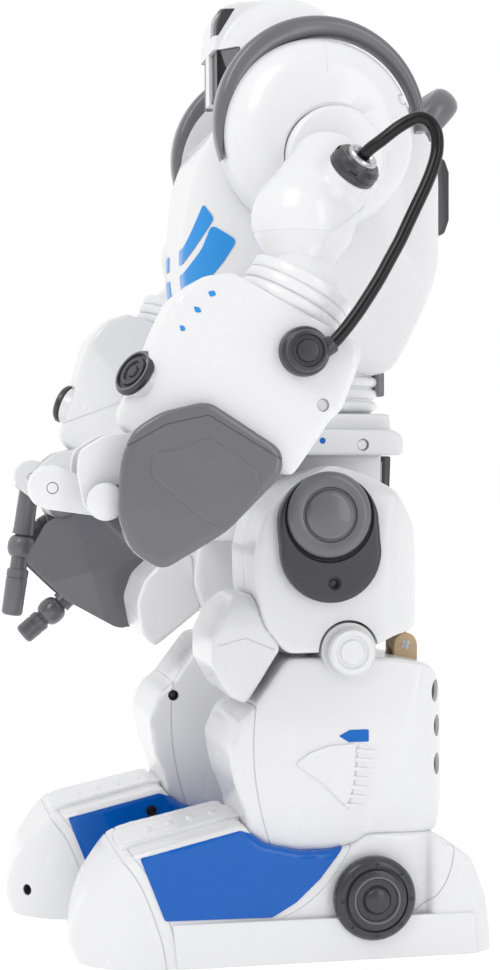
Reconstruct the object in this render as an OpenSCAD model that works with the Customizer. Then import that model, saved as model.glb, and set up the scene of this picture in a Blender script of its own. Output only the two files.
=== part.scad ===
// Walking humanoid toy robot, in millimetres.
// It faces -Y, its left hand side is +X, and it stands on Z = 0 in mid-stride:
// the left leg is back, the right leg is forward, and the left hand is lifted.

/* [Stride and pose] */
// Angle between the two thighs in mid-stride, in degrees
stride_angle = 19; // [0:1:24]
// How far the right arm swings ahead of the left, in degrees
right_arm_ahead = 10; // [0:1:15]
// How much straighter the right elbow is than the left, in degrees
right_elbow_straighter = 20; // [0:1:20]
// How far the right hand hangs below the left at the wrist, in degrees
right_hand_drop = 40; // [0:5:45]
// How far the right hand guard swings down at the wrist, in degrees
right_guard_drop = 84; // [0:1:84]
// How far the left front finger is closed, in degrees
left_finger_curl = 65; // [0:1:65]
// How far the left rear finger is closed, in degrees
left_thumb_curl = 90; // [0:1:90]

/* [Body] */
// Height of the hip axis above the floor
hip_z = 183; // [180:0.5:186]
// Distance of the hip axis behind the body's zero line
hip_y = 17; // [15:0.5:19]
// Length of the thigh, hip axis to knee axis
thigh_length = 58.7; // [56:0.1:60]
// Half width of the torso under the shoulders
torso_half_w = 47; // [45:0.5:48]
// Wall thickness of the shells
wall = 2.4; // [1.6:0.1:3]

/* [Head] */
// Radius of the helmet dome
head_r = 35; // [33:0.5:36]
// Height of the helmet dome's centre
head_z = 372; // [370:0.5:374]

/* [Shoulders] */
// Radius of the shoulder dome
pauldron_r = 40; // [38:0.5:41]
// Outer radius of the grey arch over the shoulder dome
arch_r = 45; // [43:0.5:46]
// Outer face of the shoulder dome from the centre plane
pauldron_x = 74; // [72:0.5:75]

/* [Arms] */
// Distance of the arm's middle plane from the centre plane
arm_x = 106; // [104:0.5:108]
// Radius of the elbow ball
elbow_r = 17; // [15:0.5:17.5]
// Diameter of the hose
hose_d = 5; // [4.5:0.1:5.5]
// Diameter of a finger's first tube
finger_d = 10; // [9:0.5:10.5]

/* [Legs] */
// Distance of the leg's middle plane from the centre plane
leg_x = 44; // [43:0.5:45]
// Half width of the thigh shell
thigh_half_w = 26.5; // [25:0.5:27]
// Half width of the shin shell
shin_half_w = 29; // [27:0.5:30]
// Half width of the foot
foot_half_w = 31; // [29:0.5:32]
// Radius of the knee pin's cap
knee_cap_r = 10; // [9:0.5:10.5]
// Radius of the ankle knob
knob_r = 17; // [15:0.5:17.5]

/* [Fits] */
// Radial clearance of every pin in its bore
pin_gap = 0.08; // [0.04:0.01:0.1]
// Gap between two bodies that move past each other
move_gap = 0.6; // [0.4:0.1:0.8]

/* [Hidden] */
$fn = 64;
// Shift that puts the origin under the middle of the whole robot
hip = [hip_y, hip_z];
knee = hip + thigh_length * [sin(stride_angle / 2), -cos(stride_angle / 2)];
right_knee_shift = -2 * thigh_length * sin(stride_angle / 2);
toe_y = -85.5;
heel_y = 88.5;
// Shift that puts the origin under the middle of the two feet
frame_y = -(toe_y + heel_y + right_knee_shift) / 2;
shoulder = [20, 326];
elbow = [-3, 268];
wrist = [-80, 188];
shoulder_r = 20;
ring_tilt = -29;
ring_r = 22;
ring_groove_r = 20.5;
axle_r = 3;
split_y = 23;
neck_r = 14;
neck_y = 13;
neck_top = 374;
torso_top = 356;
torso_bottom = 240;
waist_bottom = 223;
pauldron_c = [17, 337.5];
arch_c = [18.5, 342.5];
thigh_in = leg_x - thigh_half_w;
thigh_out = leg_x + thigh_half_w;
shin_out = leg_x + shin_half_w;
foot_out = leg_x + foot_half_w;
pelvis_half = thigh_in - move_gap;
link_r = 2.2;
link_y = 30;
link_x = leg_x;
knob = [36, 25];

// The hose's route on the left arm, from the upper plug to the lower plug
hose_path = [
  [118, 22, 322], [121, 27, 326], [123, 32, 330], [124, 37, 333], [125, 41, 334], [126, 44.5, 332],
  [127, 46.5, 327.5], [127.5, 46.5, 321], [128, 44.5, 314], [128.5, 41.5, 307], [129, 38, 300],
  [129.5, 34.5, 293], [130, 31, 286], [130.5, 27, 279], [131, 23, 272], [131.5, 18.5, 265],
  [132, 14, 258.5], [132, 9, 252], [132, 4.4, 247]
];

// The same route on the right arm, where the straighter elbow takes its lower end along
hose_turn_from = 9;
hose_turn_to = 15;
function elbow_turned(p, a) =
  let (y = p[1] - elbow[0], z = p[2] - elbow[1])
  [p[0], elbow[0] + y * cos(a) - z * sin(a), elbow[1] + y * sin(a) + z * cos(a)];
function hose_turn(i) = max(0, min(1, (i - hose_turn_from) / (hose_turn_to - hose_turn_from)));
right_hose_path = [
  for (i = [0:len(hose_path) - 1]) elbow_turned(hose_path[i], right_elbow_straighter * hose_turn(i))
];

function arc(c, r, from, to, steps) =
  [for (i = [0:steps]) let (a = from + (to - from) * i / steps) c + r * [cos(a), sin(a)]];
function unit(v) = v / norm(v);

// A side outline in Y and Z, drawn out from x0 to x1
module slab(points, x0, x1)
  translate([x0, 0, 0]) rotate([90, 0, 90]) linear_extrude(x1 - x0) polygon(points);
// A front outline in X and Z, drawn out from y0 to y1
module front(points, y0, y1)
  translate([0, y1, 0]) rotate([90, 0, 0]) linear_extrude(y1 - y0) polygon(points);
// A plan outline in X and Y, drawn out from z0 to z1
module plan(points, z0, z1)
  translate([0, 0, z0]) linear_extrude(z1 - z0) polygon(points);
module box(low, high) translate(low) cube(high - low);
// A pin along X at a side position
module pin(c, r, x0, x1) translate([x0, c[0], c[1]]) rotate([0, 90, 0]) cylinder(h = x1 - x0, r = r);
// A round bar between two points
module bar(a, b, r1, r2 = -1) {
  d = b - a;
  translate(a) rotate([0, acos(d[2] / norm(d)), atan2(d[1], d[0])])
    cylinder(h = norm(d), r1 = r1, r2 = r2 < 0 ? r1 : r2);
}
module ball(c, r) translate(c) sphere(r = r);
// Turns about the X direction through a side position
module turn(c, a) translate([0, c[0], c[1]]) rotate([a, 0, 0]) translate([0, -c[0], -c[1]]) children();
// A symmetric pair on both sides of the centre plane
module pair() {
  children();
  mirror([1, 0, 0]) children();
}

// Places a left arm piece on its side; level 0 is the upper arm, 1 the forearm, 2 the hand, 3 its guard
module arm_at(side, level) {
  wrist_drops = [0, 0, right_hand_drop, right_guard_drop];
  if (side == "right")
    mirror([1, 0, 0]) turn(shoulder, -right_arm_ahead)
      turn(elbow, level > 0 ? right_elbow_straighter : 0)
        turn(wrist, -wrist_drops[level]) children();
  else children();
}
module thigh_at(side) {
  if (side == "right") mirror([1, 0, 0]) turn(hip, -stride_angle) children();
  else children();
}
module shin_at(side) {
  if (side == "right") mirror([1, 0, 0]) translate([0, right_knee_shift, 0]) children();
  else children();
}
module link_at(side) {
  if (side == "right") mirror([1, 0, 0]) turn(hip + [link_y, 0], -stride_angle) children();
  else children();
}

// Torso ------------------------------------------------------------------
torso_side = concat(
  [[-8, torso_bottom], [-24, 254], [-32, 270], [-34, 282]],
  [[-34, 304], [-31, 324], [-24, 342], [-12, 352], [-2, torso_top]],
  [[44, torso_top], [62, 350], [73, 338], [77, 326]],
  [[77, 290], [73, 280], [65, 258], [58, torso_bottom]]);
torso_front = concat(
  [[26, torso_bottom], [38, 262], [torso_half_w, 290], [torso_half_w, 342], [40, 352], [30, torso_top]],
  [[-30, torso_top], [-40, 352], [-torso_half_w, 342], [-torso_half_w, 290], [-38, 262],
   [-26, torso_bottom]]);
cavity_half_w = torso_half_w - 4;

module torso_block() {
  intersection() {
    slab(torso_side, -60, 60);
    front(torso_front, -60, 100);
  }
}
module torso_cavity() {
  intersection() {
    slab([[-4, 246], [-28, 282], [-28, 304], [-20, 336], [-6, 350], [42, 350], [58, 344], [71, 326],
          [71, 291], [60, 262], [54, 246]], -60, 60);
    front([[20, 246], [33, 266], [cavity_half_w, 292], [cavity_half_w, 340], [30, 350],
           [-30, 350], [-cavity_half_w, 340], [-cavity_half_w, 292], [-33, 266], [-20, 246]], -60, 100);
  }
}
module chest_front() color("white") difference() {
  intersection() {
    torso_block();
    box([-60, -60, 200], [60, split_y, 400]);
  }
  torso_cavity();
  translate([0, neck_y, 340]) cylinder(h = 30, r = neck_r + pin_gap);
}
module torso_back() color("white") difference() {
  intersection() {
    torso_block();
    box([-60, split_y, 200], [60, 100, 400]);
  }
  torso_cavity();
  translate([0, neck_y, 340]) cylinder(h = 30, r = neck_r + pin_gap);
  box([-2.6, 58, 268], [2.6, 80, 274.8]);
}
module back_strip() color("dimgray")
  slab([[77, 300], [84, 303], [86, 309], [86, 330], [84, 336], [77, 338]], -20, 20);
module power_switch() color("dimgray") box([-2.4, 62, 268.3], [2.4, 73, 272]);
pauldron_screw = [50, 352];
// The dome has a flat face of this radius, then a round shoulder down to its rim
pauldron_face_r = 24;
module pauldron() difference() {
  translate([torso_half_w, pauldron_c[0], pauldron_c[1]]) rotate([0, 90, 0]) rotate_extrude()
    polygon(concat([[0, 0], [pauldron_r, 0]],
      [for (a = [0:12:90]) [pauldron_face_r + (pauldron_r - pauldron_face_r) * cos(a),
                            10 + (pauldron_x - torso_half_w - 10) * sin(a)]],
      [[0, pauldron_x - torso_half_w]]));
  pin(shoulder, shoulder_r + 1, pauldron_x - 6, pauldron_x + 9);
  pin(shoulder, axle_r + pin_gap, torso_half_w + 8, pauldron_x);
  pin(pauldron_screw, 2.4, pauldron_x - 14, pauldron_x);
}
module left_pauldron() color("white") pauldron();
module right_pauldron() color("white") mirror([1, 0, 0]) pauldron();
module shoulder_arches() color("gray") pair() difference() {
  intersection() {
    pin(arch_c, arch_r, torso_half_w + 1, torso_half_w + 13);
    slab([[-40, 329], [80, 350], [80, 400], [-40, 400]], 40, 70);
  }
  pin(pauldron_c, pauldron_r + 0.1, 40, 70);
}
handle_half = 30;
handle_bar = 8.5;
handle_tilt = 42;
handle_root = [68, 344];
// A flat outline of a bar bent twice at right angles, with round outer corners
handle_outline = concat(
  [[-handle_half, 0]], arc([-handle_half + 9, 20], 9, 180, 90, 8), arc([handle_half - 9, 20], 9, 90, 0, 8),
  [[handle_half, 0], [handle_half - handle_bar, 0]],
  arc([handle_half - handle_bar - 4, 16.5], 4, 0, 90, 6),
  arc([-handle_half + handle_bar + 4, 16.5], 4, 90, 180, 6),
  [[-handle_half + handle_bar, 0]]);
module carry_handle() color("gray") difference() {
  translate([0, handle_root[0], handle_root[1]]) rotate([90 - handle_tilt, 0, 0])
    translate([0, 0, -handle_bar / 2]) linear_extrude(handle_bar) polygon(handle_outline);
  torso_block();
}
module abdomen() color("white") translate([0, 31, waist_bottom]) difference() {
  union() {
    cylinder(h = torso_bottom - waist_bottom, r = 24);
    translate([0, 0, 1]) cylinder(h = 4.5, r = 26.5);
    translate([0, 0, 6.5]) cylinder(h = 4.5, r = 26);
    translate([0, 0, 12]) cylinder(h = 4, r = 25.5);
  }
  translate([0, 0, -1]) cylinder(h = 30, r = 19);
}
pelvis_screw = [40, 209.5];
module pelvis() color("white") difference() {
  union() {
    box([-pelvis_half, -20, 168], [pelvis_half, 56, 205]);
    slab([[-18, 205], [-22, 209], [-20, 216], [54, 216], [58, 213], [58, 205]], -44, 44);
    slab([[-6, 216], [0, 223], [55, 223], [56, 216]], -32, 32);
  }
  box([-14, -16, 172], [14, 57, 200]);
  pin(hip, axle_r + pin_gap, -20, 20);
  pin(hip + [link_y, 0], link_r + pin_gap, -20, 20);
  pair() pin(pelvis_screw, 2.6, 41, 50);
}
module pelvis_rear_plate() color("dimgray")
  slab([[56, 172], [59.5, 175], [60.5, 204.6], [58.1, 204.6], [56, 204.6]], -15, 15);
module battery_pack() color("darkslategray") box([-30, 38, 294], [30, 71, 324]);
module circuit_board() color("seagreen") 
  box([-cavity_half_w, 26, 294], [cavity_half_w, 28, 338]);
module gearbox() color("dimgray") difference() {
  box([-13, -12, 172], [13, 52, 198]);
  pin(hip, axle_r + 0.5, -20, 20);
  pin(hip + [link_y, 0], link_r + 0.5, -20, 20);
}
module hip_axle() color("silver") {
  pin(hip, axle_r, -thigh_out + 3, thigh_out - 3);
  pin(hip + [link_y, 0], link_r, -link_x - 5, link_x + 5);
}
module body_screws() color("silver") pair() {
  pin(pelvis_screw, 2, 41, 42.2);
  pin(pauldron_screw, 2, pauldron_x - 14, pauldron_x - 12.8);
}

// Head -------------------------------------------------------------------
face_cut = [[-60, 350], [-10, 350], [-6, 385], [-60, 385]];
module helmet() color("white") difference() {
  intersection() {
    ball([0, neck_y, head_z], head_r);
    box([-40, -40, torso_top + move_gap + 2], [40, 60, 420]);
  }
  ball([0, neck_y, head_z], head_r - wall - 1);
  slab(face_cut, -22, 22);
  slab([[-40, 389], [-14, 389], [-7, 404], [-40, 404]], -7, 7);
}
module visor() color("black") intersection() {
  difference() {
    ball([0, neck_y, head_z], head_r - 1);
    ball([0, neck_y, head_z], head_r - 5);
  }
  slab(face_cut, -21.8, 21.8);
  box([-30, -60, torso_top + move_gap + 2], [30, 60, 384.8]);
}
module forehead_inset() color("dimgray") intersection() {
  translate([0, neck_y, head_z]) sphere(r = head_r + 0.6, $fn = 180);
  slab([[-40, 389.2], [-14.2, 389.2], [-7.2, 403.8], [-40, 403.8]], -6.8, 6.8);
}
module neck_post() color("dimgray") {
  translate([0, neck_y, 352]) cylinder(h = neck_top - 352, r = neck_r);
  translate([0, neck_y, neck_top]) cylinder(h = 27.2, r = 12);
  translate([0, neck_y, 362]) cylinder(h = 2, r = 27.8);
}

// Arm, drawn for the left side ---------------------------------------------
shoulder_mass = [98, 1, 297];
plug_dir = unit([0.6, 0.45, 0.66]);
plug_root = [112, 17, 315];
plug_stem = plug_root - 15 * plug_dir;
lower_plug = [-6, 244];
disc_c = [112.5, -66.5, 235.5];
disc_dir = unit([0.44, -0.75, 0.49]);
disc_r = 9.5;
elbow_pin_r = 2;
module upper_arm_solid() difference() {
  upper_arm_form();
  pin(elbow, elbow_pin_r + pin_gap, arm_x - 20, arm_x + 20);
}
module upper_arm_form() {
  pin(shoulder, axle_r, pauldron_x - 16, pauldron_x);
  pin(shoulder, shoulder_r, pauldron_x - 5.4, pauldron_x + 8);
  intersection() {
    union() {
      bar([82, 17, 320], [98, 4, 300], 17, 20);
      ball(shoulder_mass, 21);
    }
    box([pauldron_x + move_gap, -60, 250], [150, 90, 380]);
  }
  bar(shoulder_mass, [arm_x, elbow[0], elbow[1]], 12);
  ball([arm_x, elbow[0], elbow[1]], elbow_r);
  bar(plug_stem, plug_root, 8);
}
module upper_plug_solid() {
  bar(plug_root, plug_root + 6 * plug_dir, 10);
  bar(plug_root + 6 * plug_dir, plug_root + 8.4 * plug_dir, 6.5);
}
module ring_frame() translate([arm_x, elbow[0], elbow[1]]) rotate([ring_tilt, 0, 0]) children();
forearm_side = concat(
  [[-31, 274], [-43, 272], [-53, 264], [-61, 248], [-65, 236], [-69, 229], [-73.5, 221], [-72, 216]],
  [[-64, 209], [-22, 207]],
  [[-10, 197], [5, 219], [9, 222], [16, 240], [17, 245], [14, 251]]);
forearm_front = concat(
  [[-12, 180], [-18, 188], [-22, 205], [-22, 245], [-19, 262], [-14, 280]],
  [[14, 280], [19, 262], [22, 245], [22, 205], [18, 188], [12, 180]]);
forearm_plan = concat(
  [[-22, 60], [-22, -44], [-17, -56], [-9, -67], [-4, -76]],
  [[4, -76], [9, -67], [17, -56], [22, -44], [22, 60]]);
lug_side = [[-62, 214], [-79, 213], [-89, 207], [-90, 198], [-87, 185], [-80, 181], [-72, 183], [-69, 196]];
forearm_hollow = [[-20, 244], [-50, 244], [-57, 232], [-61, 220], [-58, 213], [-4, 213], [6, 226], [9, 240]];
module forearm_solid() {
  forearm_form();
  pin(elbow, elbow_pin_r, arm_x - elbow_r - 2, arm_x + elbow_r + 2);
}
module forearm_form() difference() {
  union() {
    difference() {
      intersection() {
        slab(forearm_side, arm_x - 30, arm_x + 30);
        translate([arm_x, 0, 0]) front(forearm_front, -100, 60);
        translate([arm_x, 0, 0]) plan(forearm_plan, 150, 300);
      }
      ring_frame() translate([0, 0, 41]) cube([100, 160, 100], center = true);
    }
    ring_frame() rotate_extrude() polygon(concat([[0, -14], [ring_groove_r, -14]],
      [for (i = [0:2]) each [[ring_groove_r, 4.8 * i - 9], [ring_r - 0.4 * i, 4.8 * i - 8.2],
                             [ring_r - 0.4 * i, 4.8 * i - 5.4], [ring_groove_r, 4.8 * i - 4.6]]],
      [[ring_groove_r, 5], [0, 5]]));
    bar(disc_c - 16 * disc_dir, disc_c, disc_r - 1);
    for (x = [-13.5, 9.2]) slab(lug_side, arm_x + x, arm_x + x + 4.3);
  }
  ring_frame() sphere(r = elbow_r + 0.35);
  bar(disc_c, disc_c + 12 * disc_dir, disc_r + 0.1);
  slab(forearm_hollow, arm_x - 17, arm_x + 17);
  pin(wrist, axle_r + pin_gap, arm_x - 30, arm_x + 30);
}
module lower_plug_solid() {
  pin(lower_plug, 9.5, arm_x + 22, arm_x + 27);
  pin(lower_plug, 8, arm_x + 27, arm_x + 31);
}
module forearm_disc_solid() bar(disc_c, disc_c + 3 * disc_dir, disc_r);

// Hand, drawn for the left side with its fingers open --------------------------
front_base = [-98.2, 192.9];
rear_base = [-36, 186];
front_x = arm_x - 2;
rear_x = arm_x + 11.6;
finger_pin_r = 2;
fork_in = 5.5;
fork_out = 6.8;
wrist_boss_r = 6;
guard_side = [[-43, 225], [-60, 221], [-71, 214], [-75, 203], [-76, 182], [-71, 170], [-60, 163],
              [-36, 177], [-15, 198], [-15, 207]];
guard_inside = [[-43, 222], [-59, 218], [-68, 212], [-72, 202], [-73, 183], [-69, 173], [-60, 167],
                [-38, 180], [-18, 199], [-18, 205]];
guard_skirt = [[-90, 150], [-34, 150], [-34, 178], [-90, 178]];
// The guard is a cradle: a big outer cheek, an inner cheek, and a tie between them at the lower rear.
// Both cheeks hang on the wrist pin
module hand_guard_solid() difference() {
  union() {
    slab(guard_side, arm_x + 24, arm_x + 27);
    slab([[-64, 206], [-43, 212], [-24, 199], [-24, 191], [-36, 177], [-44, 181], [-65, 198]],
         arm_x + 27, arm_x + 28);
    intersection() {
      difference() {
        slab(guard_side, arm_x + 19, arm_x + 24);
        slab(guard_inside, arm_x + 18, arm_x + 25);
      }
      slab(guard_skirt, arm_x + 18, arm_x + 24);
    }
    slab(guard_side, arm_x - 26.6, arm_x - 23.6);
    slab([[-27, 186.1], [-27, 190.3], [-18, 199], [-17, 196]], arm_x - 24, arm_x + 24.4);
    pin(wrist, wrist_boss_r, arm_x - 26.6, arm_x - 14.6);
    slab(concat(arc(wrist, wrist_boss_r, 90, 270, 12), [[-68, 182], [-68, 195]]), arm_x + 14.2,
         arm_x + 17.6);
    slab([[-72, 182], [-68, 182], [-68, 195], [-72, 195]], arm_x + 17, arm_x + 24.4);
    pin(rear_base, 4.5, rear_x + 7, arm_x + 24.4);
  }
  pin(wrist, axle_r + pin_gap, arm_x - 17.6, arm_x - 14);
  pin(wrist, axle_r + pin_gap, arm_x + 14, arm_x + 18);
  pin(rear_base, finger_pin_r + pin_gap, rear_x + 6, arm_x + 22);
}
fork_side = concat(arc(wrist, wrist_boss_r, 60, -110, 8), arc(front_base, 8.4, 250, 80, 10));
module fork_plate(x0, x1) slab(fork_side, x0, x1);
// The white knuckle cover in front of the front finger, joining its two fork plates
knuckle_cover = concat(arc(front_base, 8.4, 235, 78, 10), arc(front_base, 6.3, 78, 235, 10));
module palm_solid() difference() {
  union() {
    fork_plate(front_x - fork_out, front_x - fork_in);
    fork_plate(front_x + fork_in, front_x + fork_out);
    slab(knuckle_cover, front_x - fork_out, front_x + fork_out);
    pin(wrist, axle_r, arm_x - 17.2, front_x - fork_out);
    pin(wrist, 5.5, front_x + fork_out, arm_x + 8.8);
    pin(wrist, axle_r, arm_x + 8.8, arm_x + 18.4);
    pin(wrist, 7, arm_x + 18, arm_x + 20.8);
  }
  pin(front_base, finger_pin_r + pin_gap, front_x - 10, front_x + 10);
}
// A finger hangs down from its base, then turns back by its open angle
module finger(base, x, open, l1, l2, l3, pin_from, pin_to) turn(base, open) {
  pin(base, 5.3, x - 4.9, x + 4.9);
  pin(base, finger_pin_r, x + pin_from, x + pin_to);
  translate([x, base[0], base[1]]) mirror([0, 0, 1]) {
    cylinder(h = l1, r = finger_d / 2);
    translate([0, 0, l1]) sphere(r = finger_d * 0.68);
    cylinder(h = l1 + l2, r = finger_d * 0.42);
    translate([0, 0, l1 + l2 - 3]) cylinder(h = l3 - 4, r = finger_d * 0.53);
    translate([0, 0, l1 + l2 + l3 - 7]) sphere(r = finger_d * 0.53);
  }
}
module finger_front_solid() finger(front_base, front_x, 22, 34, 14, 22, -fork_out, fork_out);
module finger_rear_solid() finger(rear_base, rear_x, 24, 16, 9, 12, -4.9, 9.9);
module finger_front_at(side)
  arm_at(side, 2) turn(front_base, side == "left" ? left_finger_curl : 0) finger_front_solid();
module finger_rear_at(side)
  arm_at(side, 3) turn(rear_base, side == "left" ? -left_thumb_curl : 0) finger_rear_solid();

// Leg, drawn for the left side in its own stance --------------------------
bowl = [[-15, 52], [-8, 47], [6, 43.5], [20, 43.5], [30, 46], [34, 49.5]];
thigh_side = concat(
  [[23, 201], [36, 197], [47, 191], [57, 176], [60.5, 160], [61, 137], [58, 133]],
  [[46, 130.8], [41, 128.2], [32.4, 124.8], [1, 124.5], [-8, 136], [-11.5, 151], [-12, 166]],
  [[-8.5, 181], [3, 192]]);
thigh_front = concat(
  [[thigh_in, 100], [thigh_in, 192], [thigh_in + 6, 199], [thigh_in + 14, 202]],
  [[thigh_out - 16, 202], [thigh_out - 6, 196], [thigh_out - 1, 186], [thigh_out, 174], [thigh_out, 100]]);
link_half = 7.5;
thigh_hollow = [[-6, 146], [-5, 174], [4, 177], [46, 174], [54, 158], [55, 140], [0, 140]];
module thigh_solid() difference() {
  union() {
    intersection() {
      slab(thigh_side, thigh_in, thigh_out);
      front(thigh_front, -40, 90);
    }
    for (x = [-14, 7.6]) {
      pin(knee, 8.5, leg_x + x, leg_x + x + 6.4);
      slab([[knee[0] - 8.5, 126], [knee[0] - 8.5, 140], [knee[0] + 8.5, 140], [knee[0] + 8.5, 126]],
           leg_x + x, leg_x + x + 6.4);
    }
  }
  pin(knee, 10, leg_x - link_half - 0.1, leg_x + link_half + 0.1);
  pin(knee, 12.5, leg_x + 16, leg_x + 40);
  pin(knee, axle_r + pin_gap, 0, 90);
  pin(hip, axle_r + pin_gap, 0, thigh_out - 2.4);
  slab(concat(arc(hip, link_y - 3.4, -9, 28, 8), arc(hip, link_y + 3.6, 28, -9, 8)), 0, leg_x);
  box([leg_x - link_half, 34, 110], [leg_x + link_half, 57.5, 210]);
  box([leg_x - link_half, 50, 110], [leg_x + link_half, 70, 144]);
  for (x = [thigh_in + 4, leg_x + link_half + 4])
    slab(thigh_hollow, x, x + thigh_half_w - link_half - 8);
}
plate_side = concat(arc([17.5, 177], 21, 0, 180, 16), arc([18.5, 166], 21, 180, 360, 16));
module hip_plate_solid() difference() {
  union() {
    slab(plate_side, thigh_out, thigh_out + 5);
    pin([17.5, 180], 17.5, thigh_out + 5, thigh_out + 6.6);
    pin([17.5, 182], 10, thigh_out + 6.6, thigh_out + 7.8);
  }
  pin([19.5, 153], 2.8, thigh_out + 2, thigh_out + 8);
}
guard_half = 24;
module knee_guard_solid() slab(
  [[-18.5, 148], [-11.2, 148], [-8, 136], [-1, 127], [-15.5, 104], [-22.5, 107.5], [-29.5, 120], [-29.5, 131],
   [-24.5, 141]], leg_x - guard_half, leg_x + guard_half);
module link_rod_solid() {
  top = hip + [link_y, 0];
  foot = knee + [link_y, 0];
  difference() {
    union() {
      pin(top, 5, link_x - 3, link_x + 3);
      pin(foot, 5, link_x - 3, link_x + 3);
      slab([top - [2.4, 0], foot - [2.4, 0], foot + [2.4, 0], top + [2.4, 0]], link_x - 3, link_x + 3);
    }
    pin(top, link_r + pin_gap, 0, 90);
    pin(foot, link_r + pin_gap, 0, 90);
  }
}
shin_side = concat(bowl,
  [[66, 49.5], [70, 62], [72, 76], [72, 93], [67, 113], [62, 118.5], [46, 121.5]],
  [[1.5, 122], [-14, 101], [-19, 98], [-23.5, 87], [-21.5, 74], [-16, 60]]);
shin_in = leg_x - shin_half_w;
shin_front = [[shin_in + 5, 40], [shin_in + 1.5, 60], [shin_in, 76], [shin_in, 96], [shin_in + 2, 112],
              [shin_in + 6, 140], [shin_out - 6, 140], [shin_out - 2, 112], [shin_out, 96], [shin_out, 76],
              [shin_out - 1.5, 60], [shin_out - 5, 40]];
module shin_solid() difference() {
  union() {
    intersection() {
      slab(shin_side, shin_in, shin_out);
      front(shin_front, -60, 100);
    }
    pin(knee, 11.5, leg_x + 17, leg_x + 27);
    pin(knee, 9, leg_x - 6.8, leg_x + 6.8);
    for (x = [-6.8, 3.6]) {
      pin(knee + [link_y, 0], 5, leg_x + x, leg_x + x + 3.2);
      slab([knee + [link_y - 5, 0], knee + [link_y - 5, -8], knee + [link_y + 5, -8], knee + [link_y + 5, 0]],
           leg_x + x, leg_x + x + 3.2);
    }
  }
  box([shin_in + 4, -8, 40], [shin_out - 4, 60, 108]);
  for (x = [-14.6, 7]) pin(knee, 9.3, leg_x + x, leg_x + x + 7.6);
  pin(knee, axle_r, 0, 90);
  pin(knee + [link_y, 0], link_r, leg_x - link_half, leg_x + link_half);
  box([leg_x - 3.6, knee[0] + link_y - 6.5, 117], [leg_x + 3.6, knee[0] + link_y + 12, 140]);
}
module knee_pin_solid() {
  pin(knee, axle_r, thigh_in - 1, shin_out + 1);
  pin(knee, knee_cap_r, shin_out + 1, shin_out + 4);
  pin(knee + [link_y, 0], link_r, leg_x - 6.8, leg_x + 6.8);
}
foot_side = concat(
  [[-80, 0], [-84, 3], [-85.5, 9], [-83.5, 20], [-79, 30], [-70, 40.5], [-66, 44.5], [-60, 46.5]],
  [[-17, 56]], bowl,
  [[64, 49.5], [65.5, 45], [71, 44], [78, 39], [85, 22], [88, 6], [88, 0]]);
foot_plan = concat(
  arc([leg_x, toe_y + foot_half_w], foot_half_w, 180, 360, 24),
  [[foot_out, 80], [foot_out - 6, 88.5], [leg_x - foot_half_w + 6, 88.5], [leg_x - foot_half_w, 80]]);
foot_inner_plan = concat(arc([leg_x, toe_y + foot_half_w], foot_half_w - 4, 180, 360, 24),
  [[foot_out - 4, -16], [leg_x - foot_half_w + 4, -16]]);
module foot_solid() difference() {
  union() {
    intersection() {
      slab(foot_side, leg_x - foot_half_w, foot_out);
      plan(foot_plan, 0, 70);
    }
    for (x = [leg_x - foot_half_w - 1.2, foot_out])
      slab([[-44, 0], [-46, 18], [79, 17], [80, 0]], x, x + 1.2);
  }
  box([leg_x - 26, -12, 4], [leg_x + 26, 60, 60]);
  intersection() {
    slab([[-90, 4], [-80, 22], [-68, 37], [-58, 42], [-16, 51], [-16, 4]], leg_x - 27, leg_x + 27);
    plan(foot_inner_plan, 0, 70);
  }
}
panel_side = [[-60, 44.5], [-50, 19.5], [-6, 18.5], [4, 24], [14, 33], [26.5, 48.5], [16, 46.5],
              [6, 46.5], [-8, 49.8], [-20, 54.5]];
module foot_panel_solid() for (x = [leg_x - foot_half_w - 1.2, foot_out]) slab(panel_side, x, x + 1.2);
module ankle_knob_solid() {
  pin(knob, knob_r, foot_out + 1.2, foot_out + 5);
  pin(knob, knob_r * 0.76, foot_out + 5, foot_out + 6.5);
  pin(knob, knob_r * 0.3, foot_out + 6.5, foot_out + 7.5);
}

// The hose: one tube swept along its route, in rings square to the route
hose_sides = 8;
function route_dir(path, i) =
  unit(path[min(i + 1, len(path) - 1)] - path[max(i - 1, 0)]);
function ring_at(path, i) =
  let (d = route_dir(path, i), u = unit(cross(d, [1, 0, 0])), v = cross(d, u))
  [for (k = [0:hose_sides - 1]) let (a = 360 * k / hose_sides)
    path[i] + hose_d / 2 * (cos(a) * u + sin(a) * v)];
module tube(path) {
  n = len(path);
  points = [for (i = [0:n - 1]) each ring_at(path, i)];
  sides = [for (i = [0:n - 2]) for (k = [0:hose_sides - 1]) let (j = (k + 1) % hose_sides)
    [i * hose_sides + k, i * hose_sides + j, (i + 1) * hose_sides + j, (i + 1) * hose_sides + k]];
  ends = [[for (k = [hose_sides - 1:-1:0]) k], [for (k = [0:hose_sides - 1]) (n - 1) * hose_sides + k]];
  polyhedron(points, concat(sides, ends), convexity = 6);
}

// The nodes ---------------------------------------------------------------
module placed() translate([0, frame_y, 0]) children();
module left_upper_arm() color("white") arm_at("left", 0) upper_arm_solid();
module left_upper_plug() color("dimgray") arm_at("left", 0) upper_plug_solid();
module left_hose() color("black") arm_at("left", 0) tube(hose_path);
module left_forearm() color("white") arm_at("left", 1) forearm_solid();
module left_lower_plug() color("dimgray") arm_at("left", 1) lower_plug_solid();
module left_forearm_disc() color("dimgray") arm_at("left", 1) forearm_disc_solid();
module left_hand_guard() color("gray") arm_at("left", 3) hand_guard_solid();
module left_palm() color("white") arm_at("left", 2) palm_solid();
module left_finger_front() color("gray") finger_front_at("left");
module left_finger_rear() color("gray") finger_rear_at("left");
module left_thigh_shell() color("white") thigh_at("left") thigh_solid();
module left_hip_plate() color("dimgray") thigh_at("left") hip_plate_solid();
module left_knee_guard() color("white") thigh_at("left") knee_guard_solid();
module left_link_rod() color("tan") link_at("left") link_rod_solid();
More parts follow.
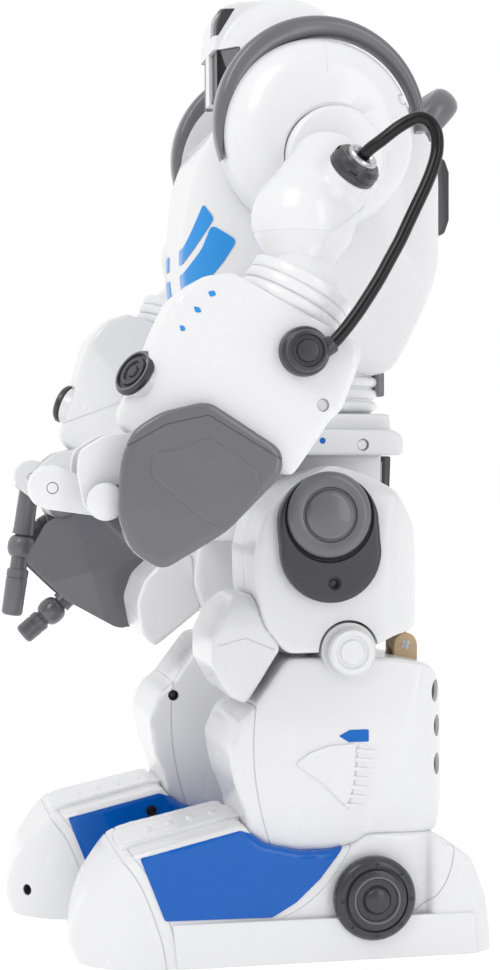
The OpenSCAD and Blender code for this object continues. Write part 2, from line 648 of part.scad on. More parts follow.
module left_knee_pin() color("white") shin_at("left") knee_pin_solid();
module left_shin_shell() color("white") shin_at("left") shin_solid();
module left_foot_shell() color("white") shin_at("left") foot_solid();
module left_foot_panel() color("royalblue") shin_at("left") foot_panel_solid();
module left_ankle_knob() color("dimgray") shin_at("left") ankle_knob_solid();
module right_upper_arm() color("white") arm_at("right", 0) upper_arm_solid();
module right_upper_plug() color("dimgray") arm_at("right", 0) upper_plug_solid();
module right_hose() color("black") arm_at("right", 0) tube(right_hose_path);
module right_forearm() color("white") arm_at("right", 1) forearm_solid();
module right_lower_plug() color("dimgray") arm_at("right", 1) lower_plug_solid();
module right_forearm_disc() color("dimgray") arm_at("right", 1) forearm_disc_solid();
module right_hand_guard() color("gray") arm_at("right", 3) hand_guard_solid();
module right_palm() color("white") arm_at("right", 2) palm_solid();
module right_finger_front() color("gray") finger_front_at("right");
module right_finger_rear() color("gray") finger_rear_at("right");
module right_thigh_shell() color("white") thigh_at("right") thigh_solid();
module right_hip_plate() color("dimgray") thigh_at("right") hip_plate_solid();
module right_knee_guard() color("white") thigh_at("right") knee_guard_solid();
module right_link_rod() color("tan") link_at("right") link_rod_solid();
module right_knee_pin() color("white") shin_at("right") knee_pin_solid();
module right_shin_shell() color("white") shin_at("right") shin_solid();
module right_foot_shell() color("white") shin_at("right") foot_solid();
module right_foot_panel() color("royalblue") shin_at("right") foot_panel_solid();
module right_ankle_knob() color("dimgray") shin_at("right") ankle_knob_solid();

placed() chest_front();
placed() torso_back();
placed() back_strip();
placed() left_pauldron();
placed() right_pauldron();
placed() shoulder_arches();
placed() carry_handle();
placed() abdomen();
placed() pelvis();
placed() pelvis_rear_plate();
placed() power_switch();
placed() battery_pack();
placed() circuit_board();
placed() gearbox();
placed() hip_axle();
placed() body_screws();
placed() helmet();
placed() visor();
placed() forehead_inset();
placed() neck_post();
placed() left_upper_arm();
placed() left_upper_plug();
placed() left_hose();
placed() left_forearm();
placed() left_lower_plug();
placed() left_forearm_disc();
placed() left_hand_guard();
placed() left_palm();
placed() left_finger_front();
placed() left_finger_rear();
placed() left_thigh_shell();
placed() left_hip_plate();
placed() left_knee_guard();
placed() left_link_rod();
placed() left_knee_pin();
placed() left_shin_shell();
placed() left_foot_shell();
placed() left_foot_panel();
placed() left_ankle_knob();
placed() right_upper_arm();
placed() right_upper_plug();
placed() right_hose();
placed() right_forearm();
placed() right_lower_plug();
placed() right_forearm_disc();
placed() right_hand_guard();
placed() right_palm();
placed() right_finger_front();
placed() right_finger_rear();
placed() right_thigh_shell();
placed() right_hip_plate();
placed() right_knee_guard();
placed() right_link_rod();
placed() right_knee_pin();
placed() right_shin_shell();
placed() right_foot_shell();
placed() right_foot_panel();
placed() right_ankle_knob();
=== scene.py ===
"""Looks of the walking toy robot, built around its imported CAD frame.

Shapes are drawn in millimetres for the robot's left side, in the CAD's own side
coordinates (Y and Z, before the shift that centres the robot), then placed on
either side by the same turns that the stance uses. Everything ends up in metres.
"""
import math

import bpy
import bmesh
from mathutils import Matrix, Vector


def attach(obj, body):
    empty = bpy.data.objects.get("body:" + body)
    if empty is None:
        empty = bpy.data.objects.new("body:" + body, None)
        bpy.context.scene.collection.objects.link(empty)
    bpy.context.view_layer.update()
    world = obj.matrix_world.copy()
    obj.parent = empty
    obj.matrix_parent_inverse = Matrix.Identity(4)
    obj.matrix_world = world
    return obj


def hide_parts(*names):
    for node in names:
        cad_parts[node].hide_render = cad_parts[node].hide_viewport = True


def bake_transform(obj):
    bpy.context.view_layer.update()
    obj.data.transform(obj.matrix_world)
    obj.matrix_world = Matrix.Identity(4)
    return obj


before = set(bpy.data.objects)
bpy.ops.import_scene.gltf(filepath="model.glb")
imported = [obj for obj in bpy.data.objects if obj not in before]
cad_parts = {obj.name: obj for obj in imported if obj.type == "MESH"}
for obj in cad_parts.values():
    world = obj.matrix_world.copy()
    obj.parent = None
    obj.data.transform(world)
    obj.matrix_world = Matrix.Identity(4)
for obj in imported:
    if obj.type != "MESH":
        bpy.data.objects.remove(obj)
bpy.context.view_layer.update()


def cosd(angle):
    return math.cos(math.radians(angle))


def sind(angle):
    return math.sin(math.radians(angle))



# Stance and main sizes, as in the CAD, in millimetres and degrees
MM = 0.001
HIP = (17.0, 183.0)
THIGH_LENGTH = 58.7
STRIDE = 19.0
KNEE = (HIP[0] + THIGH_LENGTH * sind(STRIDE / 2),
        HIP[1] - THIGH_LENGTH * cosd(STRIDE / 2))
RIGHT_KNEE_SHIFT = -2 * THIGH_LENGTH * sind(STRIDE / 2)
TOE_Y, HEEL_Y = -85.5, 88.5
FRAME_Y = -(TOE_Y + HEEL_Y + RIGHT_KNEE_SHIFT) / 2
SHOULDER, ELBOW, WRIST = (20.0, 326.0), (-3.0, 268.0), (-80.0, 188.0)
RIGHT_ARM_AHEAD, RIGHT_ELBOW_STRAIGHTER = 10.0, 20.0
RIGHT_HAND_DROP, RIGHT_GUARD_DROP = 40.0, 84.0
FRONT_CURL, REAR_CURL = 65.0, -90.0
ARM_X, LEG_X = 106.0, 44.0
TORSO_HALF, SPLIT_Y = 47.0, 23.0
DOME, DOME_R, DOME_X = (17.0, 337.5), 40.0, 74.0
ARCH, ARCH_R = (18.5, 342.5), 45.0
NECK_Y, HEAD_R, HEAD_Z = 13.0, 35.0, 372.0
RING_TILT = -29.0
THIGH_IN, THIGH_OUT = LEG_X - 26.5, LEG_X + 26.5
SHIN_HALF, FOOT_HALF = 29.0, 31.0
FOOT_OUT = LEG_X + FOOT_HALF
KNOB = (36.0, 25.0)
LINK_HALF, LINK_Y = 7.5, 30.0
LEFT, RIGHT = "left", "right"
SIDES = (LEFT, RIGHT)


# Places ---------------------------------------------------------------------
def turn(centre, angle):
    """Turns about the X direction through a side position."""
    c = Vector((0, centre[0], centre[1]))
    return Matrix.Translation(c) @ Matrix.Rotation(math.radians(angle), 4, "X") @ Matrix.Translation(-c)


TO_FRAME = Matrix.Scale(MM, 4) @ Matrix.Translation((0, FRAME_Y, 0))
MIRROR = Matrix.Scale(-1, 4, (1, 0, 0))


def arm_place(side, level):
    """Level 0 is the upper arm, 1 the forearm, 2 the hand, 3 the guard."""
    if side == LEFT:
        return TO_FRAME
    m = TO_FRAME @ MIRROR @ turn(SHOULDER, -RIGHT_ARM_AHEAD)
    if level > 0:
        m = m @ turn(ELBOW, RIGHT_ELBOW_STRAIGHTER)
    if level > 1:
        m = m @ turn(WRIST, -(RIGHT_HAND_DROP if level == 2 else RIGHT_GUARD_DROP))
    return m


def body_place(side):
    return TO_FRAME if side == LEFT else TO_FRAME @ MIRROR


def thigh_place(side):
    return TO_FRAME if side == LEFT else TO_FRAME @ MIRROR @ turn(HIP, -STRIDE)


def shin_place(side):
    if side == LEFT:
        return TO_FRAME
    return TO_FRAME @ MIRROR @ Matrix.Translation((0, RIGHT_KNEE_SHIFT, 0))


def aim(origin, direction):
    """Takes +Z to a direction and the origin to a place."""
    return Matrix.Translation(Vector(origin)) @ Vector(direction).to_track_quat("Z", "Y").to_matrix().to_4x4()


def spin(angle):
    return Matrix.Rotation(math.radians(angle), 4, "Z")


def along_x(centre, x):
    """Takes +Z to +X, at a side position."""
    return Matrix.Translation((x, centre[0], centre[1])) @ Matrix.Rotation(math.radians(90), 4, "Y")


RING_FRAME = Matrix.Translation((ARM_X, ELBOW[0], ELBOW[1])) @ Matrix.Rotation(math.radians(RING_TILT), 4,
                                                                               "X")


# Outlines -------------------------------------------------------------------
def arc(centre, radius, start, stop, steps=12, height=None):
    """Points along an arc, or along an ellipse whose other half-axis is height."""
    height = radius if height is None else height
    angles = [start + (stop - start) * i / steps for i in range(steps + 1)]
    return [(centre[0] + radius * cosd(a), centre[1] + height * sind(a)) for a in angles]


def both_sides(points, middle=0):
    """Completes half an outline with its mirror image."""
    return points + [(2 * middle - a, b) for a, b in reversed(points)]


def rounded(points, radius, steps=6):
    """Rounds every corner of a closed outline with a curve that starts radius before it."""
    result = []
    count = len(points)
    for i, corner in enumerate(points):
        c = Vector(corner)
        before, after = Vector(points[i - 1]), Vector(points[(i + 1) % count])
        a = c + (before - c).normalized() * min(radius, 0.48 * (before - c).length)
        b = c + (after - c).normalized() * min(radius, 0.48 * (after - c).length)
        for k in range(steps + 1):
            t = k / steps
            result.append(tuple((1 - t) ** 2 * a + 2 * t * (1 - t) * c + t * t * b))
    return result


# Solids ---------------------------------------------------------------------
def link(mesh):
    o = bpy.data.objects.new("work", mesh)
    bpy.context.scene.collection.objects.link(o)
    return o


def from_bmesh(bm):
    bmesh.ops.recalc_face_normals(bm, faces=bm.faces)
    mesh = bpy.data.meshes.new("work")
    bm.to_mesh(mesh)
    bm.free()
    return link(mesh)


def prism(points, low, high, place):
    """An outline drawn out from low to high; place turns (a, b, height) into a 3-D point."""
    bm = bmesh.new()
    bottom = [bm.verts.new(place(a, b, low)) for a, b in points]
    top = [bm.verts.new(place(a, b, high)) for a, b in points]
    bm.faces.new(bottom)
    bm.faces.new(reversed(top))
    for i in range(len(points)):
        j = (i + 1) % len(points)
        bm.faces.new((bottom[i], bottom[j], top[j], top[i]))
    return from_bmesh(bm)


def slab(points, x0, x1):
    return prism(points, x0, x1, lambda a, b, h: (h, a, b))


def front(points, y0, y1):
    return prism(points, y0, y1, lambda a, b, h: (a, h, b))


def plan(points, z0, z1):
    return prism(points, z0, z1, lambda a, b, h: (a, b, h))


def box(low, high):
    return plan([(low[0], low[1]), (high[0], low[1]), (high[0], high[1]), (low[0], high[1])], low[2], high[2])


def lathe(profile, matrix, steps=72):
    """Turns a profile of (radius, height) about Z. It starts and ends on the axis, or is a closed ring."""
    bm = bmesh.new()
    closed = profile[0][0] > 1e-6
    rings = []
    for radius, height in profile:
        if radius < 1e-6:
            rings.append([bm.verts.new((0, 0, height))])
        else:
            rings.append([bm.verts.new((radius * math.cos(2 * math.pi * k / steps),
                                        radius * math.sin(2 * math.pi * k / steps), height))
                          for k in range(steps)])
    pairs = list(zip(rings, rings[1:])) + ([(rings[-1], rings[0])] if closed else [])
    for a, b in pairs:
        for k in range(steps):
            m = (k + 1) % steps
            if len(a) == 1 and len(b) == 1:
                continue
            if len(a) == 1:
                bm.faces.new((a[0], b[m], b[k]))
            elif len(b) == 1:
                bm.faces.new((a[k], a[m], b[0]))
            else:
                bm.faces.new((a[k], a[m], b[m], b[k]))
    return moved(from_bmesh(bm), matrix)


def pin(centre, radius, x0, x1, edge=0.0):
    """A round pin along X, with its rims rounded where edge is given."""
    length = x1 - x0
    wall = [(radius, 0), (radius, length)]
    if edge:
        wall = (arc((radius - edge, edge), edge, -90, 0, 5)
                + arc((radius - edge, length - edge), edge, 0, 90, 5))
    return lathe([(0, 0)] + wall + [(0, length)], along_x(centre, x0))


def ball(centre, radius, squash=(1, 1, 1)):
    bm = bmesh.new()
    bmesh.ops.create_uvsphere(bm, u_segments=48, v_segments=24, radius=radius)
    bm.transform(Matrix.Translation(centre) @ Matrix.Diagonal((*squash, 1)))
    return from_bmesh(bm)


def bar(a, b, r1, r2=None):
    a, b = Vector(a), Vector(b)
    length = (b - a).length
    return lathe([(0, 0), (r1, 0), (r1 if r2 is None else r2, length), (0, length)], aim(a, b - a))


def bake(o):
    """Applies the modifiers."""
    mesh = bpy.data.meshes.new_from_object(o.evaluated_get(bpy.context.evaluated_depsgraph_get()))
    old = o.data
    o.modifiers.clear()
    o.data = mesh
    bpy.data.meshes.remove(old)
    return o


def combine(o, tools, operation, solver="MANIFOLD"):
    for tool in tools:
        m = o.modifiers.new("b", "BOOLEAN")
        m.object, m.operation, m.solver = tool, operation, solver
    bpy.context.view_layer.update()
    bake(o)
    for tool in tools:
        bpy.data.objects.remove(tool)
    return o


def union(o, *tools):
    return combine(o, tools, "UNION")


def cut(o, *tools):
    return combine(o, tools, "DIFFERENCE")


def keep(o, *tools):
    return combine(o, tools, "INTERSECT")


def soften(o, voxel, passes):
    """Rebuilds a solid in small even faces and rounds its edges."""
    m = o.modifiers.new("r", "REMESH")
    m.mode, m.voxel_size, m.adaptivity = "VOXEL", voxel, 0
    s = o.modifiers.new("s", "SMOOTH")
    s.factor, s.iterations = 0.5, passes
    bpy.context.view_layer.update()
    return bake(o)


def bevel(o, width):
    """Joins faces that lie in one plane, then rounds the edges between the others."""
    m = o.modifiers.new("d", "DECIMATE")
    m.decimate_type, m.angle_limit = "DISSOLVE", math.radians(1)
    m = o.modifiers.new("b", "BEVEL")
    m.width, m.segments, m.limit_method, m.angle_limit = width, 3, "ANGLE", math.radians(25)
    bpy.context.view_layer.update()
    return bake(o)


def copy(o):
    return link(o.data.copy())


def moved(o, matrix):
    o.data.transform(matrix)
    return o


def on_side(o, side):
    """A shape drawn for the left side, flipped over where it is for the right one."""
    if side == RIGHT:
        moved(o, MIRROR).data.flip_normals()
    return o


def swell(o, offset):
    """Moves a solid's surface out along its normals."""
    for v, n in zip(o.data.vertices, [Vector(n.vector) for n in o.data.vertex_normals]):
        v.co += n * offset
    return o


def grown(o, offset):
    return swell(copy(o), offset)


def groove(form, tool, depth):
    """A shallow line in the form's surface wherever the tool crosses it."""
    return cut(form, cut(tool, grown(form, -depth)))


def strip(points, width):
    """A thin closed outline along an open line of side positions."""
    there, back = [], []
    for i, p in enumerate(points):
        a, b = Vector(points[max(i - 1, 0)]), Vector(points[min(i + 1, len(points) - 1)])
        across = (b - a).normalized()
        across = Vector((-across.y, across.x)) * width / 2
        there.append(tuple(Vector(p) + across))
        back.append(tuple(Vector(p) - across))
    return there + back[::-1]


def scored(form, points, width, x0, x1, depth):
    """The form with a shallow line cut into it along side positions, from x0 to x1."""
    return groove(form, slab(strip(points, width), x0, x1), depth)


def smooth_line(points, steps=8):
    """Points along a smooth line that passes through every given point."""
    ends = [2 * Vector(points[0]) - Vector(points[1])] + [Vector(p) for p in points]
    ends.append(2 * Vector(points[-1]) - Vector(points[-2]))
    line = []
    for i in range(1, len(ends) - 2):
        a, b, c, d = ends[i - 1:i + 3]
        for k in range(steps):
            t = k / steps
            line.append(0.5 * (2 * b + (c - a) * t + (2 * a - 5 * b + 4 * c - d) * t * t
                               + (3 * b - a - 3 * c + d) * t ** 3))
    return line + [Vector(points[-1])]


def skin(rings):
    """A closed solid through rings of points."""
    bm = bmesh.new()
    rings = [[bm.verts.new(p) for p in ring] for ring in rings]
    for a, b in zip(rings, rings[1:]):
        for k in range(len(a)):
            m = (k + 1) % len(a)
            bm.faces.new((a[k], a[m], b[m], b[k]))
    bm.faces.new(rings[0])
    bm.faces.new(reversed(rings[-1]))
    return from_bmesh(bm)


def swept(line, radius, sides=20):
    """A round tube along a line of points."""
    across = (line[1] - line[0]).orthogonal().normalized()
    rings = []
    for i, p in enumerate(line):
        forward = (line[min(i + 1, len(line) - 1)] - line[max(i - 1, 0)]).normalized()
        across = (across - forward * across.dot(forward)).normalized()
        other = forward.cross(across)
        angles = [2 * math.pi * k / sides for k in range(sides)]
        rings.append([p + radius * (math.cos(a) * across + math.sin(a) * other) for a in angles])
    return skin(rings)


def decal(form, tool, lift):
    """A thin print or inset that follows the form's surface inside the tool."""
    return keep(grown(form, lift), tool)


def fill(node, values):
    """Sets a shader node's inputs."""
    for name, value in values.items():
        node.inputs[name].default_value = value


def material(name, colour, rough, rough_spread=0.05, grain=0.0, grain_size=900.0, coat=0.0, metal=0.0,
             mottle=0.0, specular=0.5):
    """A moulded or cast surface: uneven gloss, a slight grain and a faint drift of shade."""
    m = bpy.data.materials.new(name)
    m.use_nodes = True
    nodes, links = m.node_tree.nodes, m.node_tree.links
    shader = nodes["Principled BSDF"]
    fill(shader, {"Metallic": metal, "Coat Weight": coat, "Coat Roughness": 0.06,
                  "Specular IOR Level": specular})
    where = nodes.new("ShaderNodeTexCoord")
    soft = nodes.new("ShaderNodeTexNoise")
    fill(soft, {"Scale": 55.0, "Detail": 3.0})
    links.new(where.outputs["Object"], soft.inputs["Vector"])
    gloss = nodes.new("ShaderNodeMapRange")
    fill(gloss, {"To Min": max(0.02, rough - rough_spread), "To Max": rough + rough_spread})
    links.new(soft.outputs["Fac"], gloss.inputs["Value"])
    links.new(gloss.outputs["Result"], shader.inputs["Roughness"])
    shade = nodes.new("ShaderNodeMix")
    shade.data_type = "RGBA"
    shade.inputs["A"].default_value = (*[c * (1 - mottle) for c in colour], 1)
    shade.inputs["B"].default_value = (*[min(1, c * (1 + mottle)) for c in colour], 1)
    links.new(soft.outputs["Fac"], shade.inputs["Factor"])
    links.new(shade.outputs["Result"], shader.inputs["Base Color"])
    if grain:
        fine = nodes.new("ShaderNodeTexNoise")
        fill(fine, {"Scale": grain_size, "Detail": 2.0})
        links.new(where.outputs["Object"], fine.inputs["Vector"])
        bump = nodes.new("ShaderNodeBump")
        fill(bump, {"Strength": grain, "Distance": 0.0002})
        links.new(fine.outputs["Fac"], bump.inputs["Height"])
        links.new(bump.outputs["Normal"], shader.inputs["Normal"])
    return m


WHITE = material("white_plastic", (0.76, 0.76, 0.775), 0.26, grain=0.03, coat=0.25, mottle=0.012)
GREY = material("grey_plastic", (0.135, 0.135, 0.15), 0.24, grain=0.03, coat=0.25, mottle=0.05)
DARK = material("dark_plastic", (0.035, 0.035, 0.040), 0.28, grain=0.05, coat=0.1, mottle=0.06)
BLACK = material("black_gloss", (0.006, 0.006, 0.008), 0.12, rough_spread=0.03, mottle=0.1, specular=0.3)
RUBBER = material("hose_rubber", (0.006, 0.006, 0.007), 0.20, grain=0.04, grain_size=1600, mottle=0.1,
                  specular=0.35)
BLUE = material("blue_panel", (0.001, 0.105, 0.46), 0.13, rough_spread=0.03, mottle=0.05, specular=0.35)
PRINT = material("blue_print", (0.003, 0.13, 0.50), 0.35, mottle=0.04, specular=0.25)
SKY = material("blue_inlay", (0.025, 0.27, 0.68), 0.22, mottle=0.05, specular=0.35)
STEEL = material("steel", (0.55, 0.55, 0.57), 0.28, metal=1.0, grain=0.1, mottle=0.04)
TAN = material("tan_plastic", (0.50, 0.36, 0.20), 0.40, grain=0.06, mottle=0.08)


def piece(o, name, body, paint, place=TO_FRAME, nodes=(), sharp=32):
    """Puts a finished shape, drawn in millimetres, on its body. One that bends between two has none."""
    o.name = name
    o.data.name = name
    o.data.transform(place)
    if place.determinant() < 0:
        o.data.flip_normals()
    o.data.materials.clear()
    o.data.materials.append(paint)
    for p in o.data.polygons:
        p.material_index = 0
        p.use_smooth = True
    o.data.set_sharp_from_angle(angle=math.radians(sharp))
    if body:
        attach(o, body)
    if nodes:
        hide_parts(*nodes)
    return o


def placer(side, body, place):
    """Makes the function that puts one side's pieces on one body. It adds the side to their names."""
    def put(o, name, paint, nodes=(), sharp=32):
        piece(o, f"{side}_{name}", body, paint, place, [f"{side}_{node}" for node in nodes], sharp)
    return put


def sunk(form, centre, direction, radius):
    """The form with a screw's well cut into it."""
    return cut(form, lathe([(0, -3), (radius, -3), (radius, 2), (0, 2)], aim(centre, direction), 40))


def screw(put, name, centre, direction, radius):
    """A cross-head screw at the bottom of a dark bush, for a well that sunk has cut."""
    m = aim(centre, direction)
    head_r, bottom, rim = radius * 0.75, -2.9, -0.15
    head = lathe([(0, bottom), (head_r, bottom), (head_r, -2.5), (radius * 0.55, -2.2), (0, -2.1)], m, 40)
    for quarter in (0, 90):
        slit = box((-radius * 0.5, -0.25, -2.5), (radius * 0.5, 0.25, 0))
        head = cut(head, moved(slit, m @ spin(quarter)))
    put(head, name, DARK)
    inner, outer = radius * 0.78, radius * 0.98
    put(lathe([(inner, bottom), (outer, bottom), (outer, rim), (radius * 0.84, rim)], m, 40), name + "_bush",
        DARK)


# Torso ------------------------------------------------------------------------
TORSO_SIDE = rounded([(-8, 240), (-24, 254), (-32, 270), (-34, 282), (-34, 304), (-31, 324), (-24, 342),
                      (-12, 352), (-2, 356), (44, 356), (62, 350), (73, 338), (77, 326), (77, 290), (73, 280),
                      (65, 258), (58, 240)], 7)
TORSO_FRONT = rounded(both_sides([(26, 240), (38, 262), (47, 290), (47, 342), (40, 352), (30, 356)]), 9)
TORSO_PLAN = rounded(both_sides([(20, -36), (38, -27), (47, -8), (47, 60), (40, 74), (30, 78)]), 12)
HALF_SEAM, NECK_WELL_R = 0.25, 14.6
torso = keep(slab(TORSO_SIDE, -50, 50), front(TORSO_FRONT, -60, 90), plan(TORSO_PLAN, 230, 370))
torso = soften(torso, 1.5, 10)
neck_well = lathe([(0, 345), (NECK_WELL_R, 345), (NECK_WELL_R, 380), (0, 380)],
                  Matrix.Translation((0, NECK_Y, 0)))
switch_slot = box((-3.2, 60, 267), (3.2, 90, 276))
chest = keep(copy(torso), box((-60, -60, 200), (60, SPLIT_Y - HALF_SEAM, 400)))
# The belly panel's line across the front, then the battery cover's outline on the back
chest = cut(chest, box((-60, -60, 270), (60, -22, 270.7)))
back = cut(keep(copy(torso), box((-60, SPLIT_Y + HALF_SEAM, 200), (60, 100, 400))), copy(neck_well),
           switch_slot)
back = cut(back, box((-31, 60, 286), (31, 90, 286.7)), box((-31.7, 60, 286), (-31, 90, 345)),
           box((31, 60, 286), (31.7, 90, 345)))
chest = cut(chest, neck_well)
piece(chest, "chest_shell", "body", WHITE, nodes=["chest_front", "battery_pack", "circuit_board"])
piece(back, "back_shell", "body", WHITE, nodes=["torso_back"])

# Two blue inlays on each side of the chest
UPPER_BLADE = rounded([(-27.5, 311), (-23.5, 304.5), (-28, 297), (-36, 284), (-37, 286), (-31.5, 300)], 1.5,
                      3)
LOWER_BLADE = rounded([(-24.5, 302), (-14.5, 295), (-20, 286), (-32.5, 270), (-34.5, 282), (-28, 292)], 2.5,
                      4)
for side in SIDES:
    for tag, outline in (("upper", UPPER_BLADE), ("lower", LOWER_BLADE)):
        inlay = decal(torso, on_side(slab(outline, 14, 60), side), 0.35)
        piece(inlay, f"{side}_chest_{tag}_inlay", "body", SKY)
bpy.data.objects.remove(torso)

grille = bevel(slab([(76.5, 300), (84, 303), (86, 309), (86, 330), (84, 336), (76.5, 338)], -20, 20), 1.6)
for z in (308, 314, 320, 326):
    grille = cut(grille, box((-14, 85.2, z), (14, 90, z + 2.2)))
piece(grille, "back_strip_grille", "body", DARK, nodes=["back_strip"])
knob_block = bevel(box((-2.4, 62, 268.3), (2.4, 73.6, 272)), 0.5)
for z in (269.1, 270.1, 271.1):
    knob_block = cut(knob_block, box((-3, 73.2, z), (3, 75, z + 0.4)))
piece(knob_block, "power_slider", "switch", DARK, nodes=["power_switch"])

DOME_HOLE = (50, 352)


def shoulder_dome(side):
    """The big domed shoulder cover: a shallow crown, a soft rim, and an off-centre well for the arm."""
    put = placer(side, "body", body_place(side))
    inner = TORSO_HALF - 1
    height = DOME_X - inner
    profile = [(0, 0), (DOME_R, 0), (DOME_R, 5)] + arc((24, 11.5), 16, 0, 90, 15, 15.4)
    o = lathe(profile + [(12, height + 0.2), (0, height + 0.3)], along_x(DOME, inner), 128)
    well = lathe([(0, 0), (20.8, 0), (20.8, 4.2)] + arc((22.6, 4.2), 1.8, 180, 90, 6) + [(22.6, 12), (0, 12)],
                 along_x(SHOULDER, DOME_X - 6), 96)
    o = cut(o, well, pin(DOME_HOLE, 2.4, DOME_X - 16, DOME_X + 5))
    o = groove(o, box((DOME_X - 20, 16.85, 361), (DOME_X + 5, 17.15, 385)), 0.15)
    put(o, "shoulder_dome", WHITE, ["pauldron"], 28)
    plug = lathe([(0, 0), (2.3, 0), (2.3, 0.8), (0, 1.1)], along_x(DOME_HOLE, DOME_X - 9.5), 32)
    put(plug, "dome_plug", WHITE)


def fuller(share):
    """A sine or cosine made larger, so that a ring drawn with it comes out squarer than round."""
    return math.copysign(abs(share) ** 0.6, share)


def shoulder_arch(side):
    """The grey rim over the dome: a rounded band, thick over the top, with a point at the front."""
    count, sides, half, deep = 60, 20, 6.9, 9.6
    centre_x, outer = TORSO_HALF + 7.2, ARCH_R + 0.2
    start, stop = 201.0, -2.0
    rings = []
    for i in range(count + 1):
        t = i / count
        a = math.radians(start + (stop - start) * t)
        taper = min(1, 0.12 + 5.0 * t) * (1 - 0.55 * max(0, 2 * t - 0.9))
        inner = outer - deep * taper
        mid, thick = (outer + inner) / 2, (outer - inner) / 2
        wide = half * (0.40 + 0.60 * taper)
        ring = []
        for k in range(sides):
            b = 2 * math.pi * k / sides
            across, out = fuller(math.cos(b)) * wide, mid + fuller(math.sin(b)) * thick
            ring.append((centre_x + across, ARCH[0] + out * math.cos(a), ARCH[1] + out * math.sin(a)))
        rings.append(ring)
    piece(skin(rings), f"{side}_shoulder_arch", "body", GREY, body_place(side), ["shoulder_arches"], 50)


for side in SIDES:
    shoulder_dome(side)
    shoulder_arch(side)


def bent_bar(points, radius):
    """A round bar along a smooth path near the points."""
    curve = bpy.data.curves.new("work", "CURVE")
    curve.dimensions = "3D"
    spline = curve.splines.new("NURBS")
    spline.points.add(len(points) - 1)
    for p, q in zip(spline.points, points):
        p.co = (*q, 1)
    spline.use_endpoint_u, spline.order_u, spline.resolution_u = True, 4, 8
    curve.bevel_depth, curve.bevel_resolution, curve.use_fill_caps = radius, 6, True
    o = bpy.data.objects.new("work", curve)
    bpy.context.scene.collection.objects.link(o)
    bpy.context.view_layer.update()
    mesh = bpy.data.meshes.new_from_object(o.evaluated_get(bpy.context.evaluated_depsgraph_get()))
    bpy.data.objects.remove(o)
    return link(mesh)


# The carry handle: one bent bar, flattened so that it is wider than it is thick
HANDLE_TILT = math.radians(48)
HANDLE_R, HANDLE_WIDER, HANDLE_TOP = 4.2, 0.6, (0, 24.9)
HANDLE_HALF = [(-25, -4), (-25.5, 8), (-26, 17), (-23, 23.2), (-15, 24.7)]
handle_root = Vector((0, 68, 344))
handle_out = Vector((0, math.cos(HANDLE_TILT), math.sin(HANDLE_TILT)))
handle_across = Vector((0, -math.sin(HANDLE_TILT), math.cos(HANDLE_TILT)))
route = HANDLE_HALF + [HANDLE_TOP] + [(-x, h) for x, h in reversed(HANDLE_HALF)]
handle = bent_bar([handle_root + Vector((x, 0, 0)) + handle_out * h for x, h in route], HANDLE_R)
for v in handle.data.vertices:
    v.co += HANDLE_WIDER * handle_across * (v.co - handle_root).dot(handle_across)
piece(handle, "carry_handle_bar", "body", GREY, nodes=["carry_handle"])

# Waist ------------------------------------------------------------------------
fold = [(0, 223), (23, 223)]
for z in (224.2, 229.6, 235.0):
    fold += arc((24.2, z + 2.3), 2.0, -90, 90, 9, 2.3)
waist = lathe(fold + [(24, 243), (0, 243)], Matrix.Translation((0, 31, 0)), 96)
piece(waist, "waist_folds", "body", WHITE, nodes=["abdomen"], sharp=50)

# Pelvis -----------------------------------------------------------------------
PELVIS_HALF = THIGH_IN - 0.6
PELVIS_SCREW = (40, 209.5)
PELVIS_MARKS = ((17, 210.2, 1.1), (22.2, 211.2, 1.35))
hip_block = cut(box((-PELVIS_HALF, -20, 168), (PELVIS_HALF, 56, 206)), box((-14, -16, 172), (14, 58, 200)))
piece(bevel(hip_block, 2.5), "pelvis_block", "body", WHITE, nodes=["pelvis"])
plate_side = rounded([(-18, 205), (-22, 209), (-20, 216), (54, 216), (58, 213), (58, 205)], 2)
top_plate = soften(slab(plate_side, -44, 44), 0.9, 10)
for side in SIDES:
    put = placer(side, "body", body_place(side))
    top_plate = cut(top_plate, on_side(pin(PELVIS_SCREW, 2.6, 41, 50), side))
    put(lathe([(0, 0), (2, 0), (2, 0.9), (0, 1.1)], along_x(PELVIS_SCREW, 41), 32), "pelvis_screw", STEEL)
    for number, (y, z, radius) in enumerate(PELVIS_MARKS, 1):
        put(pin((y, z), radius, 43.6, 44.06), f"pelvis_mark_{number}", PRINT)
piece(top_plate, "pelvis_top_plate", "body", WHITE)
upper_step = soften(slab([(-6, 215), (0, 223), (55, 223), (56, 215)], -32, 32), 0.9, 8)
piece(upper_step, "pelvis_step", "body", WHITE)
rear = bevel(slab([(56, 172), (59.5, 175), (60.5, 204.6), (58.1, 204.6), (56, 204.6)], -15, 15), 1.0)
for z in (179, 185, 191, 197):
    rear = cut(rear, box((-10, 59, z), (10, 66, z + 2)))
piece(rear, "pelvis_rear_cover", "body", DARK, nodes=["pelvis_rear_plate"])
for name, paint in (("hip_axle", STEEL), ("gearbox", DARK), ("body_screws", STEEL), ("neck_post", DARK)):
    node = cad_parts[name]
    node.data.materials.clear()
    node.data.materials.append(paint)
tail_tab = bevel(box((-10, 54, 231), (10, 59, 243)), 1)
piece(tail_tab, "waist_back_tab", "body", GREY)


